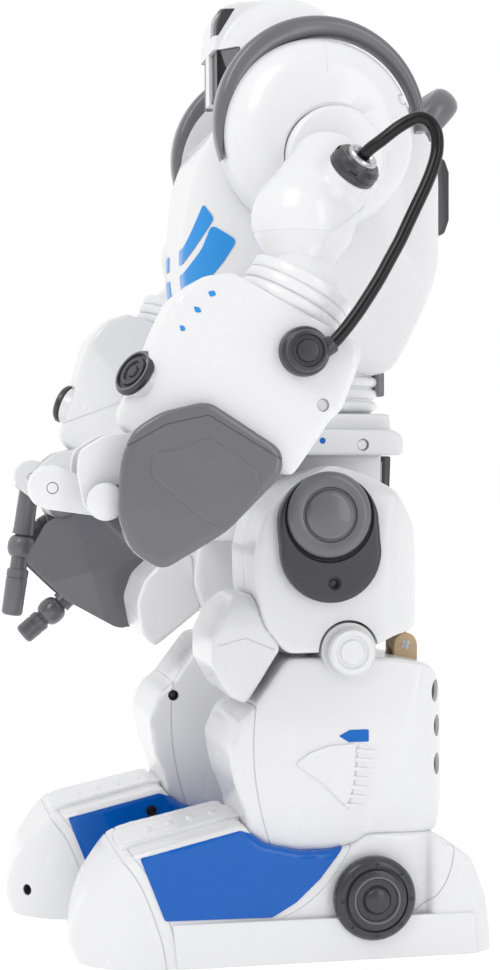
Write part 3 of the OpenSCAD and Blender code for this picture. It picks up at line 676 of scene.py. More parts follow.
# Head -------------------------------------------------------------------------
FACE_Y, FACE_TOP, FACE_BOTTOM, HELMET_TOP = -18.6, 380.5, 358.6, 406.9
FACE_CUT = rounded([(-60, 350), (-13.5, 350), (-10.5, 360), (-9.4, FACE_TOP), (-60, FACE_TOP)], 1.0, 3)
FACE_BAR = [(-40, 350), (-15.4, 350), (-15.4, FACE_TOP), (-40, FACE_TOP)]
FACET = [(-16.5, 380.3), (-9.6, 380.3), (-10.6, 370.5), (-13.4, 367.4)]
FOREHEAD_CUT = [(-30, 386.5), (-17.6, 386.5), (-10.2, 398.6), (-30, 397.4)]
BROW_PLAN = rounded([(-22, -5), (-12, -30), (12, -30), (22, -5), (22, 20), (-22, 20)], 8)
HEAD_CENTRE = (0, NECK_Y, HEAD_Z)
crown = ball(HEAD_CENTRE, HEAD_R)
brow = slab(rounded([(FACE_Y - 0.4, 352), (FACE_Y - 0.8, 396), (-12, 401.5), (12, 403), (12, 352)], 7), -17,
            17)
helmet = union(keep(copy(crown), box((-40, FACE_Y - 0.4, 300), (40, 60, 420))),
               keep(brow, plan(BROW_PLAN, 340, 410)))
helmet = swell(soften(helmet, 1.0, 10), 0.25)
helmet = keep(helmet, box((-40, -40, FACE_BOTTOM), (40, 60, HELMET_TOP)))
inside = ball(HEAD_CENTRE, HEAD_R - 3.6)
shell = cut(copy(helmet), keep(inside, box((-40, FACE_Y + 4, 300), (40, 60, 420))), slab(FACE_CUT, -40, 40))
forehead = cut(slab(FOREHEAD_CUT, -40, 40), box((-9, -60, 370), (9, 20, 420)))
# Long shallow grooves over the crown
for x in (-9.5, 9.5):
    shell = cut(shell, lathe([(34.5, -0.3), (36.5, -0.3), (36.5, 0.3), (34.5, 0.3)],
                             along_x((NECK_Y, HEAD_Z), x), 128))
shell = cut(shell, cut(copy(forehead), grown(helmet, -1.5)))
piece(shell, "helmet_shell", "head", WHITE, nodes=["helmet"], sharp=30)
piece(keep(grown(helmet, -1.3), forehead), "forehead_wedge", "head", DARK, nodes=["forehead_inset"])
glass = cut(grown(helmet, -1.6), ball(HEAD_CENTRE, HEAD_R - 9), box((-60, -4, 300), (60, 80, 420)))
piece(keep(glass, slab(FACE_CUT, -40, 40)), "visor_glass", "head", BLACK, nodes=["visor"])
piece(keep(grown(helmet, -0.2), slab(FACE_BAR, -4, 4)), "face_bar", "head", WHITE)
for side in SIDES:
    piece(keep(grown(helmet, -0.9), slab(FACET, 11, 40)), f"{side}_visor_facet", "head", GREY,
          body_place(side))
for leftover in (helmet, crown):
    bpy.data.objects.remove(leftover)


# Arm ----------------------------------------------------------------------------
MASS = Vector((98, 1, 297))
ELBOW_BALL = Vector((ARM_X, ELBOW[0], ELBOW[1]))
PLUG_DIR = Vector((0.6, 0.45, 0.66)).normalized()
PLUG_ROOT = Vector((112, 17, 315))
PLUG_FRAME = aim(PLUG_ROOT, PLUG_DIR)
DISC_FRAME = aim((112.5, -66.5, 235.5), Vector((0.44, -0.75, 0.49)).normalized())
LOWER_PLUG, FOREARM_HOLE = (-6.0, 244.0), (1.7, 224)
FOREARM_SIDE = rounded([(-31, 274), (-43, 272), (-53, 264), (-61, 248), (-65, 236), (-69, 229), (-73.5, 221),
                        (-72, 216), (-64, 209), (-22, 207), (-10, 197), (5, 219), (9, 222), (16, 240),
                        (17, 245),
                        (14, 251)], 2.5)
FOREARM_FRONT = rounded([(ARM_X + x, z) for x, z in both_sides(
    [(-12, 180), (-18, 188), (-22, 205), (-22, 245), (-19, 262), (-14, 280)])], 6)
FOREARM_PLAN = rounded([(ARM_X + x, y) for x, y in both_sides(
    [(-22, 60), (-22, -44), (-17, -56), (-9, -67), (-4, -76)])], 6)
FOREARM_MARKS = {"front": [(-41.6, 266.2), (-39.2, 266.8), (-38.4, 265), (-40.8, 264.2)],
                 "middle": [(-47.2, 260.6), (-45, 260.2), (-44.2, 258.4), (-46.6, 258.2)],
                 "rear": [(-52.4, 253.6), (-50.8, 253.2), (-50.2, 251.6), (-52, 251.2)]}
LUG_SIDE = rounded([(-62, 214), (-79, 213), (-89, 207), (-90, 198), (-87, 185), (-80, 181), (-72, 183),
                    (-69, 196)], 3)
HOSE_ROUTE = [(115.4, 19.5, 318.7), (118, 22, 322), (121, 27, 326), (123, 32, 330), (124, 37, 333),
              (125, 41, 334),
              (126, 44.5, 332), (127, 46.5, 327.5), (127.5, 46.5, 321), (128, 44.5, 314), (128.5, 41.5, 307),
              (129, 38, 300), (129.5, 34.5, 293), (130, 31, 286), (130.5, 27, 279), (131, 23, 272),
              (131.5, 18.5, 265), (132, 14, 258.5), (132, 9, 252), (132, 4.4, 247), (132, -0.5, 242.8)]
HOSE_R = 2.5
# The route's points from which the hose goes with the elbow, in part and then wholly
HOSE_TURNS_FROM, HOSE_TURNED_AFTER = 10, 6
# The smooth line's steps between route points, and two of its points, the second counted from the end
HOSE_STEPS, HOSE_BENDS_FROM, HOSE_BENDS_TO = 6, 30, -12
# Radii of the hinges' pins and of the holes round them
PIN_R, BORE_R, GUARD_BORE_R = 3, 3.3, 3.25
SMALL_PIN_R, SMALL_BORE_R, ROD_BORE_R = 2, 2.25, 2.3


def arm_slab(points, x0, x1):
    """A slab with its X measured from the arm's middle."""
    return slab(points, ARM_X + x0, ARM_X + x1)


def hose_route(side):
    """The hose's route. On the right arm the straighter elbow takes its lower end along."""
    if side == LEFT:
        return HOSE_ROUTE
    shares = [max(0, min(1, (i - HOSE_TURNS_FROM) / HOSE_TURNED_AFTER)) for i in range(len(HOSE_ROUTE))]
    return [turn(ELBOW, RIGHT_ELBOW_STRAIGHTER * k) @ Vector(p) for k, p in zip(shares, HOSE_ROUTE)]


def upper_arm(side):
    put = placer(side, f"{side}_upper_arm", arm_place(side, 0))
    form = union(bar((80, 18.5, 322), (98, 3, 300), 17.2, 19.6), ball(MASS, 20.6),
                 bar(MASS, ELBOW_BALL, 17, 11.4))
    form = soften(keep(form, box((74.8, -60, 240), (150, 90, 380))), 1.0, 16)
    stem = union(bar(PLUG_ROOT - 26 * PLUG_DIR, PLUG_ROOT, 9.4, 8.6),
                 bar(PLUG_ROOT - 3 * PLUG_DIR, PLUG_ROOT, 9.3))
    form = soften(union(form, stem), 0.8, 5)
    form = scored(form, [(-40, 292), (8, 291), (40, 313)], 0.35, 80, 140, 0.15)
    form = cut(union(form, ball(ELBOW_BALL, 17)), pin(ELBOW, 2.2, 80, 130))
    put(form, "upper_arm_form", WHITE, ["upper_arm"], 34)
    hub = [(0, -16), (3, -16), (3, -5.4), (19.6, -5.4), (20.6, -4.3), (20.6, 3.4)] + arc((18.2, 3.4), 2.4, 15,
                                                                                         90, 5)
    put(lathe(hub + [(0, 7.2)], along_x(SHOULDER, DOME_X), 96), "shoulder_hub", WHITE)
    collar = lathe([(0, -1), (9.4, -1), (10, -0.3), (10, 1.4), (9.6, 1.8), (9.6, 2.2), (10, 2.6), (9.9, 4.3),
                    (8.4, 6), (5.9, 6), (5.9, 3.5), (0, 3.5)], PLUG_FRAME, 64)
    for quarter in (40, 130, 220, 310):
        collar = cut(collar, moved(box((8.9, -1.7, 2.9), (12, 1.7, 5)), PLUG_FRAME @ spin(quarter)))
    put(collar, "upper_plug_collar", DARK, ["upper_plug"])
    ring = lathe([(4.1, 3.4), (5.9, 3.4), (6.5, 5.9), (6.4, 7.6), (5.9, 8.3), (5.2, 8.2), (4.8, 7.2),
                  (4.1, 6.6)],
                 PLUG_FRAME, 64)
    put(ring, "plug_ring", STEEL)
    put(lathe([(0, 3.3), (3.9, 3.3), (3.9, 6.6), (3.3, 7.4), (0, 7.4)], PLUG_FRAME, 48), "plug_sleeve", DARK)


def hose(side):
    place = arm_place(side, 0)
    line = smooth_line(hose_route(side), HOSE_STEPS)
    o = piece(swept(line, HOSE_R), f"{side}_arm_hose", None, RUBBER, place, [f"{side}_hose"], 60)
    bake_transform(o)


def cuff():
    """The three folds of the forearm's cuff, and the bowl above them."""
    core = 20.3
    profile = [(0, -14), (core, -14), (core, -9.2)]
    for i in range(3):
        outer, low = 22 - 0.4 * i, 4.8 * i - 9
        profile += [(core + (outer - core) * sind(a) ** 0.7, low + 2.2 - 2.2 * cosd(a)) for a in range(0, 181,
                                                                                                       15)]
    return lathe(profile + [(20.2, 4.6), (19.4, 5.3), (17.6, 5.4), (0, 5.4)], RING_FRAME, 96)


def forearm(side):
    put = placer(side, f"{side}_forearm", arm_place(side, 1))
    form = keep(arm_slab(FOREARM_SIDE, -30, 30), front(FOREARM_FRONT, -100, 60), plan(FOREARM_PLAN, 150, 300))
    form = swell(soften(form, 1.0, 10), 0.25)
    form = cut(form, moved(box((-60, -90, -9), (60, 90, 90)), RING_FRAME))
    form = scored(form, [(-75, 226), (-40, 233), (18, 214)], 0.5, 70, 100, 0.4)
    form = cut(union(form, cuff()), ball(ELBOW_BALL, 17.35))
    form = union(form, pin(ELBOW, 2, ARM_X - 19, ARM_X + 19))
    form = union(form, lathe([(0, -16), (9, -16), (9, -0.6), (8.4, 0), (0, 0)], DISC_FRAME, 64))
    for x in (-13.5, 9.2):
        form = union(form, bevel(slab(LUG_SIDE, ARM_X + x, ARM_X + x + 4.3), 0.9))
    form = cut(form, pin(WRIST, BORE_R, ARM_X - 30, ARM_X + 30),
               pin(FOREARM_HOLE, 2.5, ARM_X + 19.6, ARM_X + 30))
    for name, outline in FOREARM_MARKS.items():
        put(decal(form, arm_slab(rounded(outline, 0.6, 2), 3, 30), 0.2), f"forearm_{name}_mark", SKY)
    put(form, "forearm_form", WHITE, ["forearm"], 34)
    put(pin(FOREARM_HOLE, 2.4, ARM_X + 17, ARM_X + 20.2, 0.4), "forearm_plug", WHITE)
    disc = lathe([(0, 0.1), (9.2, 0.1), (9.5, 0.5), (9.5, 1.8), (8.6, 2.8), (7.6, 2.9), (7.3, 2.0),
                  (6.2, 2.0),
                  (5.9, 2.9), (4.4, 3.0), (4.1, 2.2), (2.6, 2.2), (2.3, 2.9), (0, 3.0)], DISC_FRAME, 72)
    put(disc, "forearm_button", DARK, ["forearm_disc"])
    put(lathe([(7.6, 2.0), (8.7, 2.0), (8.5, 3.0), (7.8, 3.0)], DISC_FRAME, 72), "forearm_button_rim", GREY)
    plug = lathe([(0, -0.5), (9.5, -0.5), (9.5, 3.6), (9.0, 4.7), (8.2, 5.0), (8.0, 5.2), (8.0, 7.6),
                  (7.4, 8.6),
                  (6.3, 8.9), (5.8, 7.7), (4.4, 7.7), (4.0, 8.5), (0, 8.8)], along_x(LOWER_PLUG, ARM_X + 22),
                 72)
    put(plug, "lower_plug_body", DARK, ["lower_plug"])
    put(bevel(bar((132, 4.6, 247.1), (132, -3, 242), 3.5), 0.5), "hose_nozzle", DARK)


# Hand, its guard and its fingers ------------------------------------------------------
GUARD_SIDE = rounded([(-43, 225), (-60, 221), (-71, 214), (-75, 203), (-76, 182), (-71, 170), (-60, 163),
                      (-36, 177), (-15, 198), (-15, 207)], 4)
GUARD_INSIDE = rounded([(-43, 222), (-59, 218), (-68, 212), (-72, 202), (-73, 183), (-69, 173), (-60, 167),
                        (-38, 180), (-18, 199), (-18, 205)], 3)
GUARD_SKIRT = [(-90, 150), (-34, 150), (-34, 178), (-90, 178)]
GUARD_PANEL = rounded([(-64, 206), (-54, 207.5), (-43, 212), (-24, 199), (-23, 191), (-36, 177), (-46, 182),
                       (-65, 198)], 3)
GUARD_TIE = [(-27, 186.1), (-27, 190.3), (-18, 199), (-17, 196)]
CHEEK_BALL_R = 240
FRONT_BASE, REAR_BASE = (-98.2, 192.9), (-36.0, 186.0)
FRONT_X, REAR_X = ARM_X - 2, ARM_X + 11.6
FORK_IN, FORK_OUT = 5.5, 6.8
# Each finger: its angle when straight, its three lengths and its pin's ends
FRONT_FINGER = (22, (34, 14, 22), (-FORK_OUT, FORK_OUT))
REAR_FINGER = (24, (16, 9, 12), (-4.9, 9.9))


def guard(side):
    """The grey cradle over the hand: an outer cup, an inner cheek and the tie between them."""
    put = placer(side, f"{side}_guard", arm_place(side, 3))
    cup = union(arm_slab(GUARD_SIDE, 22.4, 27.4),
                keep(arm_slab(GUARD_SIDE, 17, 24), arm_slab(GUARD_SKIRT, 10, 30)))
    cup = swell(soften(cup, 0.8, 16), 0.35)
    cup = cut(cup, arm_slab(GUARD_INSIDE, 10, 24.2), box((ARM_X - 10, -90, 178), (ARM_X + 22.5, 0, 240)),
              box((ARM_X - 10, -90, 150), (ARM_X + 19, 0, 240)))
    cup = scored(cup, [(-74, 208), (-59, 216.5), (-43, 220), (-12, 201.5)], 0.5, ARM_X + 20, ARM_X + 30, 0.35)
    ear = union(bevel(arm_slab(arc(WRIST, 6, 90, 270) + [(-68, 182), (-68, 195)], 14.2, 17.6), 0.6),
                arm_slab([(-72, 182), (-68, 182), (-68, 195), (-72, 195)], 17, 24.4),
                pin(REAR_BASE, 4.5, REAR_X + 7, ARM_X + 24.4, 0.4))
    cup = cut(union(cup, ear), pin(WRIST, GUARD_BORE_R, ARM_X + 14, ARM_X + 18),
              pin(REAR_BASE, SMALL_BORE_R, REAR_X + 6, ARM_X + 22))
    put(cup, "hand_guard_cup", GREY, ["hand_guard"], 40)
    put(soften(arm_slab(GUARD_PANEL, 25.2, 28.1), 0.45, 5), "guard_panel", GREY, sharp=60)

    cheek = keep(arm_slab(GUARD_SIDE, -27.2, -23.6), ball((ARM_X + 213.2, -46, 192), CHEEK_BALL_R))
    boss = lathe([(0, -0.2), (4, 0), (5.4, 0.7), (6, 2), (6, 12), (0, 12)], along_x(WRIST, ARM_X - 26.6), 64)
    cheek = union(soften(cheek, 0.5, 3), bevel(arm_slab(GUARD_TIE, -24.5, 24.4), 0.5), boss)
    cheek = cut(cheek, pin(WRIST, GUARD_BORE_R, ARM_X - 17.6, ARM_X - 14))
    put(cheek, "guard_cheek", GREY, sharp=50)


def hand(side):
    """The palm: a knuckle fork on the wrist pin, and the cap on that pin's outer end."""
    fork = rounded(arc(WRIST, 6, 60, -110, 8) + arc(FRONT_BASE, 8.4, 250, 80, 10), 0.8, 2)
    cover = arc(FRONT_BASE, 8.4, 235, 78, 12) + arc(FRONT_BASE, 6.3, 78, 235, 12)
    palm = union(bevel(slab(fork, FRONT_X - FORK_OUT, FRONT_X - FORK_IN), 0.4),
                 bevel(slab(fork, FRONT_X + FORK_IN, FRONT_X + FORK_OUT), 0.4),
                 slab(cover, FRONT_X - FORK_OUT + 0.3, FRONT_X + FORK_OUT - 0.3),
                 pin(WRIST, PIN_R, ARM_X - 17.2, FRONT_X - FORK_OUT + 0.2),
                 pin(WRIST, 5.5, FRONT_X + FORK_OUT - 0.2, ARM_X + 8.8),
                 pin(WRIST, PIN_R, ARM_X + 8.7, ARM_X + 18.2),
                 lathe([(0, 0), (7, 0), (7, 1.4), (6.4, 2.3), (5, 2.8), (0, 2.8)], along_x(WRIST, ARM_X + 18),
                       64))
    palm = cut(palm, pin(FRONT_BASE, SMALL_BORE_R, FRONT_X - 10, FRONT_X + 10))
    placer(side, f"{side}_hand", arm_place(side, 2))(palm, "palm_form", WHITE, ["palm"])


def finger(side, name, place, base, x, lengths, pin_ends):
    """A jointed toy finger: a knuckle, a tube, a wide barrel, a neck and a sleeve with a soft end."""
    put = placer(side, f"{side}_finger_{name}", place)
    down = Matrix.Translation((x, *base)) @ Matrix.Rotation(math.pi, 4, "X")
    tube, neck, sleeve = lengths
    waist = tube + neck
    end = waist + sleeve - 2.2
    barrel = [(6.7 * cosd(a) ** 0.45, tube + 5.6 * sind(a)) for a in range(-75, 76, 10)]
    o = union(pin(base, 5.3, x - 4.9, x + 4.9, 0.9),
              lathe([(0, 0), (4.7, 0), (5.0, tube - 9), (5.3, tube - 6), (0, tube - 6)], down, 48),
              lathe([(0, tube - 7), (4.6, tube - 7)] + barrel + [(0, tube + 5.6)], down, 48),
              lathe([(0, tube), (4.2, tube), (4.1, waist), (0, waist)], down, 48),
              lathe([(0, waist - 3), (4.6, waist - 3), (5.3, waist - 2.2), (5.1, end - 2)]
                    + arc((3.1, end - 2), 2, 15, 90, 5) + [(0, end + 0.2)], down, 48))
    hoop = lathe([(5.2, waist + 1), (5.8, waist + 1), (5.8, waist + 1.5), (4.9, waist + 1.5),
                  (4.9, waist + 1)],
                 down, 48)
    put(cut(o, hoop), f"{name}_finger_form", GREY, [f"finger_{name}"], 40)
    put(pin(base, SMALL_PIN_R, x + pin_ends[0], x + pin_ends[1], 0.3), f"{name}_finger_pin", WHITE)


def fingers(side):
    """Both fingers. The left hand's are curled up inside its guard."""
    for name, level, base, x, curl, (straight, lengths, pin_ends) in (
            ("front", 2, FRONT_BASE, FRONT_X, FRONT_CURL, FRONT_FINGER),
            ("rear", 3, REAR_BASE, REAR_X, REAR_CURL, REAR_FINGER)):
        turned = straight + (curl if side == LEFT else 0)
        finger(side, name, arm_place(side, level) @ turn(base, turned), base, x, lengths, pin_ends)


for side in SIDES:
    upper_arm(side)
    hose(side)
    forearm(side)
    guard(side)
    hand(side)
    fingers(side)


# Legs ---------------------------------------------------------------------------
BOWL = [(-15, 52), (-8, 47), (6, 43.5), (20, 43.5), (30, 46), (34, 49.5)]
THIGH_SIDE = rounded([(23, 201), (36, 197), (47, 191), (57, 176), (60.5, 160), (61, 137), (58, 133),
                      (46, 130.8),
                      (41, 128.2), (32.4, 124.8), (1, 124.5), (-8, 136), (-11.5, 151), (-12, 166),
                      (-8.5, 181),
                      (3, 192)], 3)
THIGH_FRONT = rounded([(THIGH_IN, 100), (THIGH_IN, 192), (THIGH_IN + 6, 199), (THIGH_IN + 14, 202),
                       (THIGH_OUT - 16, 202), (THIGH_OUT - 6, 196), (THIGH_OUT - 1, 186), (THIGH_OUT, 174),
                       (THIGH_OUT, 100)], 7)
THIGH_HOLLOW = [(-6, 146), (-5, 174), (4, 177), (36, 174), (38, 158), (38, 140), (0, 140)]
KNEE_GUARD_SIDE = rounded([(-18.5, 148), (-11.2, 148), (-8, 136), (-1, 127), (-15.5, 104), (-22.5, 107.5),
                           (-29.5, 120), (-29.5, 131), (-24.5, 141)], 2.2)
KNEE_GUARD_FRONT = rounded([(LEG_X + x, z) for x, z in both_sides([(-24, 104), (-24, 140), (-17, 148)])
                            + [(20, 100), (-20, 100)]], 6)
SHIN_IN, SHIN_OUT = LEG_X - SHIN_HALF, LEG_X + SHIN_HALF
SHIN_SIDE = rounded(BOWL + [(66, 49.5), (70, 62), (72, 76), (72, 93), (67, 113), (62, 118.5), (46, 121.5),
                            (1.5, 122), (-14, 101), (-19, 98), (-23.5, 87), (-21.5, 74), (-16, 60)], 3)
SHIN_FRONT = rounded(both_sides([(SHIN_IN + 5, 40), (SHIN_IN + 1.5, 60), (SHIN_IN, 76), (SHIN_IN, 96),
                                 (SHIN_IN + 2, 112), (SHIN_IN + 6, 140)], LEG_X), 7)
# The openings in the shin's rear edge: their middles and how far each leans
SHIN_PORTS = (((62.6, 107.8), -14), ((65.6, 92.5), -3), ((65.6, 76.6), 4))
KNEE_EAR, KNEE_EAR_WIDE = 8.5, 6.4
LINK_TOP, LINK_FOOT = (HIP[0] + LINK_Y, HIP[1]), (KNEE[0] + LINK_Y, KNEE[1])
LINK_EYE, LINK_BAR_HALF = 5, 2.4
HIP_SCREW = (19.5, 153)


def round_back(half, y0, y1, depth):
    """A leg's plan outline: square at the front and half an ellipse at the back."""
    return [(LEG_X - half, y0), (LEG_X + half, y0)] + arc((LEG_X, y1 - depth), half, 0, 180, 20, depth)


def leg_slab(points, x0, x1):
    """A slab with its X measured from the leg's middle."""
    return slab(points, LEG_X + x0, LEG_X + x1)


def leg_pin(centre, radius, x0, x1, edge=0.0):
    return pin(centre, radius, LEG_X + x0, LEG_X + x1, edge)


def thigh(side):
    put = placer(side, f"{side}_thigh", thigh_place(side))
    form = keep(slab(THIGH_SIDE, THIGH_IN, THIGH_OUT), front(THIGH_FRONT, -40, 90),
                plan(round_back(THIGH_OUT - LEG_X, -40, 61.5, 20), 100, 220))
    form = swell(soften(form, 1.0, 12), 0.3)
    ear_in, ear_out = KNEE[0] - KNEE_EAR, KNEE[0] + KNEE_EAR
    for x in (LEG_X - 14, LEG_X + 7.6):
        form = union(form, pin(KNEE, KNEE_EAR, x, x + KNEE_EAR_WIDE),
                     slab([(ear_in, 126), (ear_in, 140), (ear_out, 140), (ear_out, 126)], x,
                          x + KNEE_EAR_WIDE))
    arc_slot = slab(arc(HIP, LINK_Y - 3.4, -9, 28, 8) + arc(HIP, LINK_Y + 3.6, 28, -9, 8), 0, LEG_X)
    form = cut(form, leg_pin(KNEE, 10, -LINK_HALF, LINK_HALF), leg_pin(KNEE, 12.6, 16, 40),
               pin(KNEE, BORE_R, 0, 90), pin(HIP, BORE_R, 0, THIGH_OUT - 2.4), arc_slot,
               box((LEG_X - LINK_HALF, 34, 110), (LEG_X + LINK_HALF, 57.5, 210)),
               box((LEG_X - LINK_HALF, 50, 110), (LEG_X + LINK_HALF, 70, 144)))
    for x in (THIGH_IN + 4, LEG_X + LINK_HALF + 4):
        form = cut(form, slab(THIGH_HOLLOW, x, x + 11))
    form = groove(form, box((LEG_X - 0.25, -30, 120), (LEG_X + 0.25, 30, 215)), 0.4)
    put(form, "thigh_form", WHITE, ["thigh_shell"], 34)
    hip_plate(put)
    knee_guard(put)
    rod = union(leg_pin(LINK_TOP, LINK_EYE, -3, 3, 0.6), leg_pin(LINK_FOOT, LINK_EYE, -3, 3, 0.6),
                bevel(leg_slab([(LINK_TOP[0] - LINK_BAR_HALF, LINK_TOP[1]),
                                (LINK_FOOT[0] - LINK_BAR_HALF, KNEE[1]),
                                (LINK_FOOT[0] + LINK_BAR_HALF, KNEE[1]),
                                (LINK_TOP[0] + LINK_BAR_HALF, LINK_TOP[1])],
                               -3, 3), 0.5))
    rod = cut(rod, pin(LINK_TOP, ROD_BORE_R, 0, 90), pin(LINK_FOOT, ROD_BORE_R, 0, 90))
    piece(rod, f"{side}_link_bar", f"{side}_link", TAN, thigh_place(side), [f"{side}_link_rod"])


def hip_plate(put):
    """The dark plate on the thigh, its dial and its screw."""
    outline = arc((17.5, 177), 21, 0, 180, 24) + arc((18.5, 166), 21, 180, 360, 24)
    plate = soften(slab(outline, THIGH_OUT - 1, THIGH_OUT + 5), 0.7, 6)
    well = lathe([(0, 3.6), (17.9, 3.6), (18.6, 4.4), (18.9, 6), (18.9, 12), (0, 12)],
                 along_x((17.5, 180), THIGH_OUT), 96)
    put(cut(plate, well, pin(HIP_SCREW, 2.8, THIGH_OUT + 2, THIGH_OUT + 8)), "hip_plate_form", DARK,
        ["hip_plate"], 50)
    dial = lathe([(0, 3.5), (17.2, 3.5), (17.6, 4.2), (17.3, 5.4), (16, 6.4), (14.2, 6.6), (11.4, 6.3),
                  (10.9, 5.3),
                  (10.4, 5.3), (10.0, 6.6), (9.2, 7.4), (7.6, 7.7), (0, 7.8)],
                 along_x((17.5, 181), THIGH_OUT), 96)
    put(dial, "hip_dial", GREY, sharp=40)
    screw(put, "hip_screw", (THIGH_OUT + 4.4, *HIP_SCREW), (1, 0, 0), 2.7)


def knee_guard(put):
    form = keep(leg_slab(KNEE_GUARD_SIDE, -24, 24), front(KNEE_GUARD_FRONT, -40, 20))
    form = swell(soften(form, 0.8, 10), 0.25)
    form = scored(form, [(-27, 128), (-16, 131), (-4, 126)], 0.5, LEG_X + 19, LEG_X + 30, 0.4)
    put(form, "knee_guard_form", WHITE, ["knee_guard"], 40)


def shin(side):
    put = placer(side, f"{side}_shin", shin_place(side))
    form = keep(slab(SHIN_SIDE, SHIN_IN, SHIN_OUT), front(SHIN_FRONT, -60, 100),
                plan(round_back(SHIN_HALF, -40, 72.5, 24), 30, 140))
    form = swell(soften(form, 1.0, 9), 0.25)
    line = smooth_line([(-1, 124), (-11, 108), (-13.5, 92), (-13, 76), (-10, 60), (-5, 44)], 5)
    for x in (LEG_X, LEG_X - 40):
        form = scored(form, line, 0.6, x, x + 40, 0.5)
    for number, ((y, z), lean) in enumerate(SHIN_PORTS, 1):
        tool = lathe([(0, -4), (1, -4), (1, 6), (0, 6)],
                     aim((0, 0, 0), (0.62, 0.78, 0)) @ Matrix.Diagonal((3.1, 4.6, 1, 1)))
        moved(tool, Matrix.Translation((LEG_X + 19, y, z)) @ Matrix.Rotation(math.radians(lean), 4, "X"))
        put(keep(grown(form, -1.6), copy(tool)), f"shin_port_{number}", DARK)
        form = cut(form, cut(tool, grown(form, -1.7)))
    screw_place = ((SHIN_IN + 0.2, -12.6, 97.5), (-1, 0, 0), 2.4)
    form = sunk(form, *screw_place)
    form = union(form, leg_pin(KNEE, 11.5, 17, 27), leg_pin(KNEE, 9, -6.8, 6.8))
    for name, x in (("inner", LEG_X - 6.8), ("outer", LEG_X + 3.6)):
        foot = [(LINK_FOOT[0] - LINK_EYE, KNEE[1]), (LINK_FOOT[0] - LINK_EYE, KNEE[1] - 8),
                (LINK_FOOT[0] + LINK_EYE, KNEE[1] - 8), (LINK_FOOT[0] + LINK_EYE, KNEE[1])]
        put(union(pin(LINK_FOOT, LINK_EYE, x, x + 3.2, 0.4), slab(foot, x, x + 3.2)), f"link_lug_{name}", TAN)
    form = cut(form, leg_pin(KNEE, 9.3, -14.6, -7), leg_pin(KNEE, 9.3, 7, 14.6),
               box((LEG_X - 3.6, LINK_FOOT[0] - 6.5, 117), (LEG_X + 3.6, LINK_FOOT[0] + 12, 140)))
    shin_relief(put, form)
    put(form, "shin_form", WHITE, ["shin_shell"], 34)
    cap = lathe([(0, 0.6), (8.9, 0.6), (9.6, 1.2), (9.6, 3.0), (8.8, 4.0), (7.0, 4.0), (6.4, 3.1), (5.2, 3.1),
                 (4.7, 4.0), (0, 4.0)], along_x(KNEE, SHIN_OUT), 72)
    cap = union(cap, pin(KNEE, PIN_R, THIGH_IN - 1, SHIN_OUT + 1), leg_pin(LINK_FOOT, SMALL_PIN_R, -6.8, 6.8))
    put(cap, "knee_cap", WHITE, ["knee_pin"], 40)
    screw(put, "shin_screw", *screw_place)


def shin_relief(put, form):
    """The raised cone, its ribbed band and the arrow on the shin's outer face."""
    cone = rounded([(3.5, 80), (10, 84.5), (18, 87), (29, 87.6), (27.6, 70), (25, 62), (15, 72)], 2, 4)
    band = [(30.4, 88), (37, 85), (36.5, 76), (33.5, 64), (31, 58.5), (26, 60), (28.6, 70)]
    arrow = [(21.8, 90.8), (26.5, 93.2), (34.4, 93.2), (34.4, 88.2), (26, 88.2)]
    raised = decal(form, leg_slab(cone, 20, 40), 0.9)
    ribs = decal(form, leg_slab(rounded(band, 1, 3), 20, 40), 0.35)
    rib_top, rib_step, rib_long = 84.6, 3.7, 7.6
    for k in range(7):
        z = rib_top - rib_step * k
        y = 36.6 - 0.11 * (rib_top - z) - 0.0045 * (rib_top - z) ** 2
        rib = rounded([(y - rib_long, z + 1.0), (y, z), (y, z - 1.5), (y - rib_long, z - 0.5)], 0.5, 2)
        ribs = union(ribs, decal(form, leg_slab(rib, 20, 40), 0.95))
    put(decal(form, leg_slab(rounded(arrow, 0.5, 2), 20, 40), 0.2), "shin_arrow", PRINT)
    put(raised, "shin_cone", WHITE, sharp=50)
    put(ribs, "shin_ribs", WHITE, sharp=40)


# Feet -----------------------------------------------------------------------------
FOOT_IN = LEG_X - FOOT_HALF
FOOT_SIDE = rounded([(-80, -4), (-84, 3), (-85.5, 9), (-83.5, 20), (-79, 30), (-70, 40.5), (-66, 44.5),
                     (-60, 46.5), (-17, 56)] + BOWL + [(64, 49.5), (65.5, 45), (71, 44), (78, 39), (85, 22),
                                                       (88, 6), (88, -4)], 2)
FOOT_PLAN = arc((LEG_X, TOE_Y + FOOT_HALF), FOOT_HALF, 180, 360, 32) + rounded(
    [(FOOT_OUT, 60), (FOOT_OUT, 80), (FOOT_OUT - 6, HEEL_Y), (FOOT_IN + 6, HEEL_Y), (FOOT_IN, 80),
     (FOOT_IN, 60)], 4)
PANEL_SIDE = rounded([(-60, 44.9), (-50, 19.5), (-6, 18.5), (4, 24), (14, 33), (26.5, 48.5), (16, 46.5),
                      (6, 46.5), (-8, 49.8), (-19, 54.2)], 1, 3)
TOE_BAND = [(-70, 47.5), (-61, 36), (-55.5, 24), (-51, 10), (-49, -2)]
HEEL_SEAM = [(70.5, 48), (69, 36), (64, 26), (54, 17.6)]
ANKLE_EDGE = [(-4, 17), (8, 23), (19, 33), (27, 45), (31, 52)]
RIDGE_PLAN = [(LEG_X - 17, -66), (LEG_X + 17, -66), (LEG_X + 13, -14), (LEG_X - 13, -14)]
TOE_WELL = ((22.9, -77, 11.8), (-0.68, -0.73, 0), 2.5)
INSTEP_WELL = ((FOOT_IN - 0.3, -22.8, 46.5), (-1, 0, 0), 2.5)
KNOB_STUDS_R = 14.6


